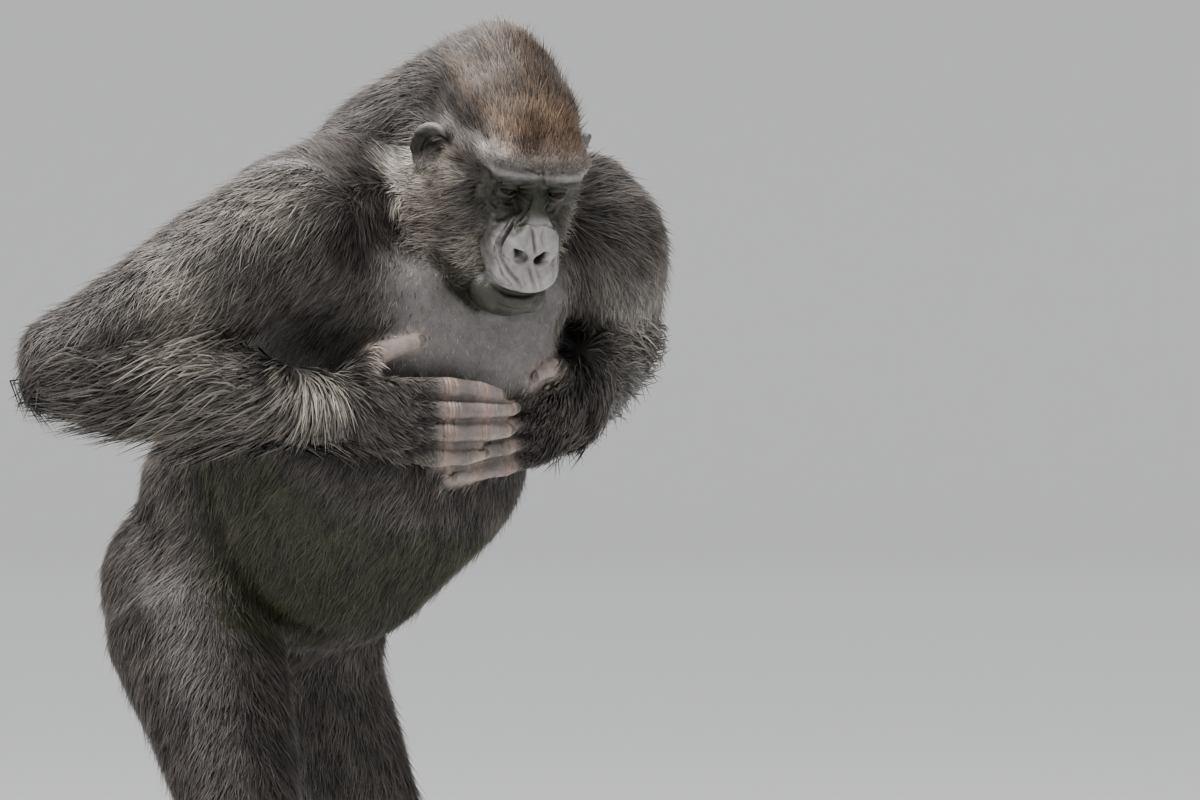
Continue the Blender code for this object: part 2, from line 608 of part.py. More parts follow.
# ---------------------------------------------------------------- place and finish
low = Vector(min(v.co[i] for o in nodes for v in o.data.vertices) for i in range(3))
high = Vector(max(v.co[i] for o in nodes for v in o.data.vertices) for i in range(3))
move = Matrix.Translation((-(low.x + high.x) / 2, -(low.y + high.y) / 2, -low.z))
LOOKS = {
    "skin": ((0.055, 0.05, 0.048), 0.55),
    "coat": ((0.04, 0.034, 0.032), 0.75),
    "eye": ((0.03, 0.012, 0.006), 0.12),
}
BARE = ("hand", "foot", "ear", "head")
for obj in nodes:
    obj.data.transform(move)
    look = "eye" if obj.name.startswith("eye") else "skin" if obj.name.startswith(BARE) else "coat"
    colour, roughness = LOOKS[look]
    mat = bpy.data.materials.new(look + "_" + obj.name)
    mat.use_nodes = True
    bsdf = mat.node_tree.nodes["Principled BSDF"]
    bsdf.inputs["Base Color"].default_value = (*colour, 1.0)
    bsdf.inputs["Roughness"].default_value = roughness
    obj.data.materials.clear()
    obj.data.materials.append(mat)
    for p in obj.data.polygons:
        p.material_index = 0
total = sum(len(p.vertices) - 2 for o in nodes for p in o.data.polygons)
print("triangles", total, "size", high - low, "moved by", move.translation)
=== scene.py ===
"""A western lowland gorilla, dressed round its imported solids: a skin, eyes, nails and a coat of solid tufts.

Places are in centimetres from the floor under the pelvis, x to the gorilla's left, f forward, z up, or in
the same way from the middle of the head. The eyes' boxes in the frame tie them to it."""

import math

import bmesh
import bpy
import numpy as np
from mathutils import Matrix, Vector
from mathutils.bvhtree import BVHTree
from mathutils.kdtree import KDTree


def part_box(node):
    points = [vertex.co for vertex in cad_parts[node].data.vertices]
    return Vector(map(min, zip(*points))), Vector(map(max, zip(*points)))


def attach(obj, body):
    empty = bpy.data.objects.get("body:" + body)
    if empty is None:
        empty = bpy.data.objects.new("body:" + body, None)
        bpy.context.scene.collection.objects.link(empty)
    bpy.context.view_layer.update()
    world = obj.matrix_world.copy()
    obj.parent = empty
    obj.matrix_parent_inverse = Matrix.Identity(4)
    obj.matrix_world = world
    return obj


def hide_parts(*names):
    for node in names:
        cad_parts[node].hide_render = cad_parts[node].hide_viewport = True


bl_info = {
    "name": "Gorilla",
    "version": (1, 0, 0),
    "blender": (4, 5, 0),
    "location": "3D View > Sidebar > Gorilla",
    "description": "A life-size gorilla with its skin, eyes, nails and coat",
    "category": "Object",
}

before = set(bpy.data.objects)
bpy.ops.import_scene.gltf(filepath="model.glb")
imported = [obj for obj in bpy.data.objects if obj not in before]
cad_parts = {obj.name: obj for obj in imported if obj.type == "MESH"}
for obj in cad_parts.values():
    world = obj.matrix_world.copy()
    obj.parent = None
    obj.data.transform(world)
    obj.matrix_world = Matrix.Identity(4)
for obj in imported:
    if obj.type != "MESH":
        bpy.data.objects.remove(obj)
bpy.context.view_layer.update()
CM = 0.01

# ---------------------------------------------------------------- posture, as the solids have it
HIP = {"right": (-10.5, -1.0, 60.5), "left": (10.0, -4.5, 60.5)}
KNEE = {"right": (-21.0, 16.5, 34.0), "left": (20.0, 3.0, 32.0)}
ANKLE = {"right": (-16.0, 6.5, 8.0), "left": (15.5, -7.5, 8.0)}
SHOULDER = {"right": (-24.5, 25.8, 107.0), "left": (19.5, 37.2, 106.5)}
ELBOW = {"right": (-54.3, 15.2, 91.5), "left": (45.8, 20.4, 97.3)}
WRIST = {"right": (-23.6, 31.4, 86.2), "left": (16.2, 36.5, 85.3)}
HAND_TO = {"right": (-1.5, 42.3, 85.6), "left": (-8.5, 37.0, 81.5)}
HAND_OUT = {"right": (-0.443, 0.898, 0.0), "left": (0.0, 1.0, 0.0)}
HEAD_AT = (-3.6, 41.3, 116.4)
HEAD_YAW, HEAD_PITCH, HEAD_ROLL = 28.0, 35.0, 3.5
TOE_OUT = 14.0
EYE_AT = (3.2, 9.2, 0.9)
EYE_R = 1.32
MOUTH_ASIDE = 0.7
EAR_AT, EAR_SIZE = (8.6, 0.6, -0.8), 1.7
EAR_YAW, EAR_ROLL = 36.0, 6.0
SIDES = {"right": -1, "left": 1}
SOLE = 0.0005  # the lowest place of the skin, in metres
FINE_NODES = ("head", "ear", "hand", "foot")
FLESH = sorted(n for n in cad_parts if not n.startswith("eye"))


def P(x, f, z):
    return Vector((x, -f, z))


def turn(yaw=0.0, pitch=0.0, roll=0.0):
    """Yaw to its right, pitch down, roll its left side down."""
    return (
        Matrix.Rotation(math.radians(-yaw), 4, "Z")
        @ Matrix.Rotation(math.radians(pitch), 4, "X")
        @ Matrix.Rotation(math.radians(roll), 4, "Y")
    )


def middle_of(node):
    low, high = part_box(node)
    return (low + high) / 2 / CM


HEAD_TURN = turn(HEAD_YAW, HEAD_PITCH, HEAD_ROLL)
BETWEEN_EYES = (middle_of("eye_right") + middle_of("eye_left")) / 2
ORIGIN = BETWEEN_EYES - HEAD_TURN @ P(0, EYE_AT[1], EYE_AT[2]) - P(*HEAD_AT)
BODY = Matrix.Translation(ORIGIN)
HEAD = Matrix.Translation(ORIGIN + P(*HEAD_AT)) @ HEAD_TURN


def local(co, matrix):
    """Points in metres as centimetres (x, f, z) from that matrix."""
    m = np.array(matrix.inverted())
    p = np.asarray(co) / CM @ m[:3, :3].T + m[:3, 3]
    p[:, 1] *= -1
    return p


def heading(x, f, z, matrix=BODY):
    """A direction given as x, f, z, as a unit row in the frame."""
    return np.array((matrix.to_3x3() @ P(x, f, z)).normalized())


def ease(value, low, high):
    """0 below low, 1 above high, smooth between. High may be below low."""
    t = np.clip((value - low) / (high - low), 0.0, 1.0)
    return t * t * (3 - 2 * t)


def within(p, low, high):
    """Which places lie in a box, given by its lowest and its highest corner."""
    return ((p > low) & (p < high)).all(1)


def unit(rows):
    return rows / np.maximum(np.linalg.norm(rows, axis=1, keepdims=True), 1e-9)


# ---------------------------------------------------------------- forms
def unit_sphere():
    bm = bmesh.new()
    bmesh.ops.create_icosphere(bm, subdivisions=3, radius=1.0)
    points = [v.co.copy() for v in bm.verts]
    bm.free()
    return points


SPHERE = unit_sphere()


def ball(at, r, where=BODY):
    """Points of an ellipsoid. r is one radius or three (x, f, z)."""
    radii = Vector((r, r, r)) if isinstance(r, (int, float)) else Vector(r)
    centre = P(*at)
    return [where @ (centre + Vector(p * s for p, s in zip(q, radii))) for q in SPHERE]


def between(a, b, t):
    return tuple(p + (q - p) * t for p, q in zip(a, b))


def hull(bm, *balls):
    """Adds the convex hull of some balls."""
    verts = [bm.verts.new(p * CM) for points in balls for p in points]
    made = bmesh.ops.convex_hull(bm, input=verts)
    loose = {g for g in made["geom_interior"] + made["geom_unused"] if isinstance(g, bmesh.types.BMVert)}
    bmesh.ops.delete(bm, geom=list(loose), context="VERTS")


def chain(bm, *balls):
    for a, b in zip(balls, balls[1:]):
        hull(bm, a, b)


def head_forms(bm):
    """Skull, brow, cheeks, jaw, muzzle, nose and lips."""

    def b(x, f, z, *r):
        return ball((x, f, z), r if len(r) > 1 else r[0], HEAD)

    hull(bm, b(0, -5.5, 2.5, 7.6, 5, 7.8), b(0, -10.5, 2.2, 8.8, 5.4, 9.2))
    hull(bm, b(0, -1, -5.5, 6.8, 5, 4.4), b(0, -7.5, -7.0, 8.0, 5.5, 5.8))
    # brain case with the crest, temples and forehead
    hull(bm, b(0, -6.2, 4.4, 8.4, 8.4, 8.2), b(0, -6.8, 8.6, 4.8, 6.8, 4.9))
    hull(bm, b(-3.4, -1, 5.6, 5.0, 7, 4.8), b(3.4, -1, 5.6, 5.0, 7, 4.8))
    hull(bm, b(0, 2.5, 4.6, 7.0, 7.4, 4.9), b(0, -2, 9, 3.6, 4, 3.6))
    temples = b(-6, 6.6, 3.9, 1.8, 2, 1.9), b(6, 6.6, 3.9, 1.8, 2, 1.9)
    hull(bm, *temples, b(0, 9, 5.2, 3, 1.8, 2), b(0, 2, 5, 6.4, 4, 4))
    m = MOUTH_ASIDE
    for s in (-1, 1):
        # brow, what joins it to the lids, and the outer corner of the eye
        chain(
            bm,
            b(0, 10.3, 5.1, 2.2, 1.4, 1.5),
            b(s * 3.8, 9.9, 5.1, 2.2, 1.5, 1.6),
            b(s * 6.2, 7.8, 4.2, 1.5, 1.5, 1.6),
            b(s * 7.2, 4.6, 2.1, 1.3, 1.8, 2.0),
        )
        hull(
            bm,
            b(s * 3.2, 9.9, 4.4, 2.8, 1.2, 1.0),
            b(s * 3.6, 9.7, 2.9, 2.4, 1.1, 0.9),
            b(s * 1.2, 9.9, 3.2, 1.4, 1.2, 0.9),
        )
        hull(
            bm,
            b(s * 2.8, 9.2, 6.0, 2.6, 1.5, 1.5),
            b(s * 5.0, 7.9, 5.4, 1.8, 1.6, 1.6),
            b(s * 1.6, 6.2, 7.8, 2.4, 2.0, 1.8),
            b(0, -2, 9.2, 3.6, 4.0, 3.4),
            b(s * 4.0, 0, 7.0, 3.0, 5.0, 3.4),
        )
        corner = b(s * 6.2, 7.2, 0.2, 1.5, 1.5, 1.6), b(s * 5.2, 8.2, 2.4, 1.2, 1, 1.6)
        hull(bm, b(s * 6.4, 7.5, 4.0, 1.4, 1.3, 1.4), *corner)
        # cheekbone, cheek, jaw and ruff
        hull(
            bm,
            b(s * 5.4, 7.6, -1.4, 2.0, 1.8, 1.8),
            b(s * 7.2, 5.0, -1.0, 1.7, 2.0, 2.0),
            b(s * 7.6, 0, -1.4, 1.9, 3.0, 3.0),
            b(s * 4.6, 6.8, -6.0, 3.2, 3.2, 3.4),
            b(s * 6.0, 1.0, -7.0, 3.0, 4.0, 4.0),
        )
        hull(bm, b(s * 6.2, 2.4, 1.6, 2.6, 4.6, 3.6), b(s * 6.0, -2.0, 2.0, 2.8, 4.0, 4.4))
        hull(
            bm,
            b(s * 7.0, 1.0, -2.4, 2.1, 3.0, 3.0),
            b(s * 5.0, 6.4, -5.4, 2.9, 3.0, 3.2),
            b(s * 4.4, 7.2, -11.2, 2.8, 3.6, 3.2),
            b(s * 6.8, 0.4, -8.4, 3.6, 4.4, 4.2),
        )
        hull(
            bm,
            b(s * 7.6, -4.4, -6.0, 4.0, 5.0, 4.2),
            b(s * 7.2, -0.2, -8.0, 4.3, 5.0, 4.6),
            b(s * 4.2, 7.2, -11.6, 2.8, 3.6, 3.2),
        )
        hull(bm, b(s * 6.8, -6.0, -3.0, 3.4, 3.6, 5.0), b(s * 6.6, -9.5, -2.0, 4.0, 4.0, 6.0))
        hull(bm, b(s * 4.0, 7.4, -11.0, 2.8, 3.6, 3.2), b(s * 2.4 + m / 2, 11.6, -12.4, 2.4, 2.5, 2.3))
        # nose wing, the pad above it, side of the upper lip
        hull(bm, b(s * 2.1 - 0.15, 13.2, -4.2, 1.9, 1.9, 1.8), b(s * 1.5, 12.6, -2.4, 1.6, 1.6, 1.6))
        hull(bm, b(s * 1.9, 13.5, -3.0, 1.5, 1.4, 1.3), b(s * 1.0, 12.6, -1.6, 1.2, 1.3, 1.3))
        hull(bm, b(s * 2.0 + m, 12.7, -7.9, 2.3, 2.8, 2.5), b(s * 3.2, 8.0, -5.0, 2.8, 3, 4.0))
        hull(bm, b(s * 2.6, 12.4, -6.0, 1.7, 1.8, 2.0), b(s * 2.1 + m, 12.6, -8.0, 2.1, 2.8, 2.3))
        # lids
        hull(bm, b(s * EYE_AT[0], EYE_AT[1] - 0.1, EYE_AT[2], 1.8, 1.5, 1.6))
    # muzzle, bridge and tip of the nose, lips, chin
    hull(bm, b(0, 6, -3.5, 5.8, 5, 5.2), b(m / 2, 11.0, -7.6, 4.6, 4.4, 4.2))
    hull(bm, b(0, 9.4, 1.8, 1.3, 1.3, 1.6), b(0, 12.2, -1.6, 1.5, 1.4, 1.5), b(0, 14.1, -3.9, 1.6, 1.4, 1.5))
    hull(bm, b(0, 14.2, -5.1, 0.8, 1.0, 0.9), b(0.2, 13.8, -6.3, 0.9, 1.2, 0.9))
    hull(bm, b(m, 12.8, -7.3, 3.8, 3.4, 2.4), b(m, 12.9, -8.9, 4.0, 3.0, 1.6))
    chin = b(m / 2, 11.8, -12.2, 4.2, 3.1, 1.8), b(m / 2, 10.4, -13.4, 4.1, 3.5, 2.2)
    hull(bm, *chin, b(0, 6, -10.5, 4.6, 4.5, 3.4))


def ear_frame(side):
    at = Matrix.Translation(P(side * EAR_AT[0], EAR_AT[1], EAR_AT[2]))
    return HEAD @ at @ turn(yaw=side * EAR_YAW, roll=side * EAR_ROLL)


def ear_forms(bm, side):
    """A rounded shell, open forwards, with a rim round its upper edge and a lobe."""
    leaf = ear_frame(side)

    def bead(x, f, z, r):
        return ball((x * EAR_SIZE, f * EAR_SIZE, z * EAR_SIZE), tuple(c * EAR_SIZE for c in r), leaf)

    hull(bm, bead(-side * 0.15, -0.3, 0.2, (0.4, 1.45, 2.1)), bead(-side * 1.2, 0.5, -0.4, (0.6, 1.0, 1.7)))
    rim = []
    for i in range(13):
        a = math.radians(-62 + 19.5 * i)
        rim.append(bead(side * 0.38, -0.3 - 1.55 * math.cos(a), 0.45 + 2.1 * math.sin(a), (0.32, 0.3, 0.3)))
    chain(bm, *rim)
    fold = []
    for i in range(9):
        a = math.radians(-50 + 22 * i)
        fold.append(bead(side * 0.3, -0.2 - 0.85 * math.cos(a), 0.3 + 1.3 * math.sin(a), (0.2, 0.22, 0.22)))
    chain(bm, *fold)
    hull(bm, bead(side * 0.25, 0.95, -0.2, (0.3, 0.25, 0.4)), bead(-side * 0.2, 1.0, -0.6, (0.3, 0.3, 0.5)))
    hull(bm, bead(0, 0.2, -2.1, (0.42, 0.72, 0.72)), bead(-side * 0.4, 0.4, -1.4, (0.5, 0.8, 0.8)))


# Each finger's knuckle, two joints and tip as (along the hand, towards the thumb, outwards), and its radius
FINGERS = {
    "right": [
        ((8.0, 2.3, 0.5), (14.6, 2.5, 0.9), (19.0, 2.2, 0.4), (21.9, 1.7, -0.3), 1.22),
        ((8.4, -0.3, 0.7), (15.0, -0.3, 1.1), (20.2, -0.1, 0.6), (23.6, 0.2, -0.2), 1.34),
        ((8.4, -2.9, 0.6), (14.5, -2.9, 1.0), (19.6, -2.7, 0.5), (23.0, -2.4, -0.2), 1.33),
        ((8.2, -5.3, 0.2), (13.4, -5.9, 0.5), (17.4, -5.7, 0.1), (19.9, -5.3, -0.5), 1.17),
    ],
    "left": [
        ((8.6, 2.9, 0.3), (15.2, 3.0, 0.2), (19.4, 2.8, -0.7), (22.2, 2.5, -1.7), 1.15),
        ((9.2, 0.5, 0.5), (15.8, 0.5, 0.4), (20.6, 0.5, -0.8), (23.9, 0.4, -2.1), 1.22),
        ((9.2, -1.9, 0.4), (15.6, -2.0, 0.3), (20.4, -2.0, -0.9), (23.5, -2.0, -2.2), 1.2),
        ((9.0, -4.2, 0.1), (14.8, -4.4, 0.0), (19.2, -4.4, -1.0), (21.9, -4.3, -2.0), 1.08),
    ],
}
THUMB = {  # places in the same way, each with its radius
    "right": [
        ((1.6, 2.6, -0.6), 2.0),
        ((4.6, 5.6, -0.6), 1.55),
        ((8.0, 7.1, -0.3), 1.28),
        ((10.8, 7.9, 0.0), 1.08),
    ],
    "left": [
        ((1.2, 2.8, 0.2), 2.0),
        ((3.4, 6.0, 1.3), 1.55),
        ((6.8, 6.6, 1.8), 1.35),
        ((9.6, 6.0, 1.7), 1.12),
    ],
}
FINGERTIP = 0.72  # a fingertip's radius against the finger's own
TOES = ((-2.6, 8.0), (-0.6, 8.6), (1.5, 8.0), (3.4, 6.6))  # of each small toe: its place outwards, its length
TOE_ROOT = 13.5  # how far in front of the ankle the small toes begin


def hand_frame(word):
    """A matrix whose own x, f, z run towards the thumb, along the hand and out of its back."""
    reach = (P(*HAND_TO[word]) - P(*WRIST[word])).normalized()
    out = P(*HAND_OUT[word])
    out = (out - reach * out.dot(reach)).normalized()
    radial = reach.cross(out)
    if radial.z < 0:
        radial = -radial
    turned = Matrix((radial, -reach, out)).transposed().to_4x4()
    return Matrix.Translation(ORIGIN + P(*WRIST[word])) @ turned


def out_of_hand(where):
    """The direction out of the back of the hand, as a row in the frame."""
    return np.array(where.to_3x3() @ Vector((0, 0, 1)))


def finger_rows(word, along):
    """For places at that distance along the hand, where the middle of each finger lies towards the thumb."""
    rows = []
    for *places, _ in FINGERS[word]:
        rows.append(np.interp(along, [p[0] for p in places], [p[1] for p in places]))
    return np.array(rows)


def between_fingers(word, place):
    """1 along the middle of the gaps between the fingers, 0 elsewhere."""
    rows = finger_rows(word, place[:, 1])
    gaps = (rows[1:] + rows[:-1]) / 2
    away = np.abs(place[:, 0] - gaps).min(0)
    return np.exp(-((away / 0.24) ** 2)) * ease(place[:, 1], 9.0, 11.0)


def hand_forms(bm, word):
    where = hand_frame(word)

    def b(place, r):
        """A ball at (along, towards the thumb, outwards) whose three radii are those of the upright frame."""
        s, t, n = place
        at = BODY.inverted() @ (where @ P(t, s, n))
        return ball((at.x, -at.y, at.z), r)

    fingers = FINGERS[word]
    hull(bm, b((-1.5, -0.3, 0), (3.1, 3.0, 4.1)), b((3, -0.6, 0), (2.6, 2.4, 4.2)))
    hull(bm, b((3, -0.6, 0), (2.5, 2.3, 4.1)), *[b(knuckle, r * 1.1) for knuckle, _, _, _, r in fingers])
    hull(bm, b((0.5, 1.6, -0.4), 2.3), b((3.6, 4.0, -0.8), 1.7), b((6.5, 2.4, -0.6), 1.6))
    for knuckle, joint, second, tip, r in fingers:
        chain(
            bm,
            b(knuckle, r * 1.06),
            b(between(knuckle, joint, 0.55), r * 0.92),
            b(joint, r * 1.02),
            b(between(joint, second, 0.55), r * 0.9),
            b(second, r * 0.93),
            b(tip, r * FINGERTIP),
        )
    chain(bm, *[b(p, r) for p, r in THUMB[word]])


def foot_frame(word):
    ankle = ANKLE[word]
    return Matrix.Translation(ORIGIN + P(ankle[0], ankle[1], 0)) @ turn(yaw=-SIDES[word] * TOE_OUT)


def toes(side):
    """Each toe as three places and radii: its root, its joint and its tip."""
    rows = []
    for i, (x, length) in enumerate(TOES):
        x = side * (0.9 + x)
        rows.append((
            ((x, TOE_ROOT, 1.9), (1.25, 1.6, 1.5)),
            ((x + side * 0.35 * (i - 1), TOE_ROOT + length * 0.55, 2.3), (1.1, 1.2, 1.15)),
            ((x + side * 0.45 * (i - 1), TOE_ROOT + length, 1.05), (1.05, 1.15, 1.1)),
        ))
    rows.append((
        ((-side * 2.4, 5.0, 2.4), (2.4, 2.6, 2.4)),
        ((-side * 5.6, 9.6, 1.9), (1.8, 1.9, 1.8)),
        ((-side * 6.9, 13.6, 1.25), (1.45, 1.6, 1.3)),
    ))
    return rows


def foot_forms(bm, word):
    """Ankle and heel, the instep, the sole and the toes."""
    side, stand = SIDES[word], foot_frame(word)
    ankle = ((0, -0.5, 8.5), (4.0, 4.4, 3.5)), ((0, -1.0, 4.0), (3.6, 4.7, 3.8))
    heel = ((0, -3.8, 2.6), (3.3, 3.4, 3.2))
    instep = (
        ((0, 0.5, 5.6), (3.7, 4.5, 3.7)),
        ((side * 0.3, 6.5, 3.4), (4.3, 4.0, 3.2)),
        ((side * 0.8, 13.0, 1.9), (4.8, 3.0, 2.1)),
    )
    sole = ((0, -2.5, 1.4), (3.3, 4.1, 2.2)), ((side * 0.6, 12.5, 1.2), (4.8, 3.1, 1.8))
    for row in ((*ankle, heel), instep, sole, *toes(side)):
        chain(bm, *[ball(at, r, stand) for at, r in row])


# ---------------------------------------------------------------- meshes
def linked(name, mesh):
    obj = bpy.data.objects.new(name, mesh)
    bpy.context.scene.collection.objects.link(obj)
    return obj


def apply_modifiers(obj):
    """Applies the whole stack of one object."""
    bpy.ops.object.select_all(action="DESELECT")
    obj.select_set(True)
    bpy.context.view_layer.objects.active = obj
    for m in list(obj.modifiers):
        bpy.ops.object.modifier_apply(modifier=m.name)


def place_vertices(obj, co):
    obj.data.vertices.foreach_set("co", co.astype(np.float32).ravel())
    obj.data.update()


def rows_of(collection, name, width, kind=np.float32):
    """A property of all vertices, edges or corners as rows."""
    flat = np.empty(len(collection) * width, kind)
    collection.foreach_get(name, flat)
    return flat.reshape(-1, width) if width > 1 else flat


class Net:
    """The places, normals and edges of a mesh, for spreading values over it."""

    def __init__(self, mesh):
        self.co = rows_of(mesh.vertices, "co", 3).astype(float)
        self.normal = rows_of(mesh.vertices, "normal", 3).astype(float)
        self.a, self.b = rows_of(mesh.edges, "vertices", 2, np.int32).T
        self.n = len(self.co)
        ends = np.concatenate((self.a, self.b))
        self.count = np.maximum(np.bincount(ends, minlength=self.n), 1)

    def mean(self, column):
        total = np.bincount(self.a, column[self.b], self.n) + np.bincount(self.b, column[self.a], self.n)
        return total / self.count

    def spread(self, values, times, pace=0.5):
        """Values averaged with their neighbours that many times. pace may differ between vertices."""
        values = np.array(values, float)
        flat = values.reshape(self.n, -1)
        for _ in range(times):
            for c in range(flat.shape[1]):
                flat[:, c] += (self.mean(flat[:, c]) - flat[:, c]) * pace
        return flat.reshape(values.shape)


def region_of(co):
    """For each point, the name of the flesh node it is nearest to."""
    verts, tris, owner = [], [], []
    for name in FLESH:
        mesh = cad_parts[name].data
        mesh.calc_loop_triangles()
        start = len(verts)
        verts += [v.co.copy() for v in mesh.vertices]
        tris += [tuple(start + i for i in t.vertices) for t in mesh.loop_triangles]
        owner += [name] * len(mesh.loop_triangles)
    tree = BVHTree.FromPolygons(verts, tris)
    return np.array([owner[tree.find_nearest(p)[2]] for p in co.tolist()])


def mark(mesh, name, rows):
    """Stores a colour for every vertex."""
    attribute = mesh.attributes.new(name, "FLOAT_COLOR", "POINT")
    opaque = np.column_stack((rows, np.ones(len(rows))))
    attribute.data.foreach_set("color", opaque.astype(np.float32).ravel())


# ---------------------------------------------------------------- plan of the coat
# Of each region: how far the skin lies inside the solids, the hair's length, tufts to a square centimetre.
COATS = {
    "head": (0.85, 2.1, 46.0),
    "neck": (0.9, 3.0, 26.0),
    "chest": (0.55, 2.2, 14.5),
    "abdomen": (0.5, 2.0, 15.0),
    "pelvis": (0.55, 2.2, 14.0),
    "thigh": (0.65, 2.4, 15.0),
    "shin": (0.6, 2.3, 14.0),
    "foot": (0.2, 1.1, 14.0),
    "upper": (0.75, 2.9, 18.0),
    "forearm": (1.1, 5.2, 12.5),
    "hand": (0.3, 2.2, 16.0),
    "ear": (0.0, 0.7, 0.0),
}
CURVED = ("forearm", "hand")  # regions whose tufts are long enough to need a bend
# Painted sheen on the shoulders and arms, lighter patches where the light catches the coat: middle (x, f, z),
# radius, strength
PAINTED_SHEEN_PATCHES = (
    ((-43.5, 24.0, 102.0), 4.5, 0.3),
    ((-41.0, 25.0, 92.5), 5.0, 0.3),
    ((-27.0, 33.0, 90.5), 3.2, 0.7),
    ((-33.0, 30.0, 112.0), 7.0, 0.22),
    ((-40.0, 26.0, 90.0), 11.0, 0.1),
    ((31.0, 33.0, 96.0), 6.0, 0.28),
    ((24.0, 38.0, 104.0), 10.0, 0.16),
)
# The fold between the belly and the right flank, from the waist down to the groin
FLANK_FOLD = (
    (-18.8, 7.2, 79),
    (-17.4, 6.8, 73),
    (-15.6, 7.5, 67.5),
    (-14.4, 10.1, 62.7),
    (-11.2, 12.2, 59.6),
    (-6, 15, 57.7),
)
FOLD_DEPTH, FOLD_WIDTH = 1.3, 1.7
JOINTS_ALONG = (14.6, 19.6, 23.0)  # how far along the hand the fingers' joints and tips lie


def segment_place(p, a, b):
    """How far along the line from a to b each point is, 0 to 1 at its ends."""
    a, b = np.array(a), np.array(b)
    return (p - a) @ (b - a) / ((b - a) @ (b - a))


def from_segment(p, a, b):
    """The distance of each point from the line between two places."""
    t = np.clip(segment_place(p, a, b), 0, 1)[:, None]
    return np.linalg.norm(p - np.array(a) - t * (np.array(b) - np.array(a)), axis=1)


def from_line(p, line):
    """The distance of each point from a line of places."""
    return np.minimum.reduce([from_segment(p, a, b) for a, b in zip(line, line[1:])])


def way(a, b, fall):
    """The direction from a to b, bent down by its fall."""
    x, f, z = np.array(b) - np.array(a)
    d = heading(x, f, z) + np.array((0, 0, -fall))
    return d / np.linalg.norm(d)


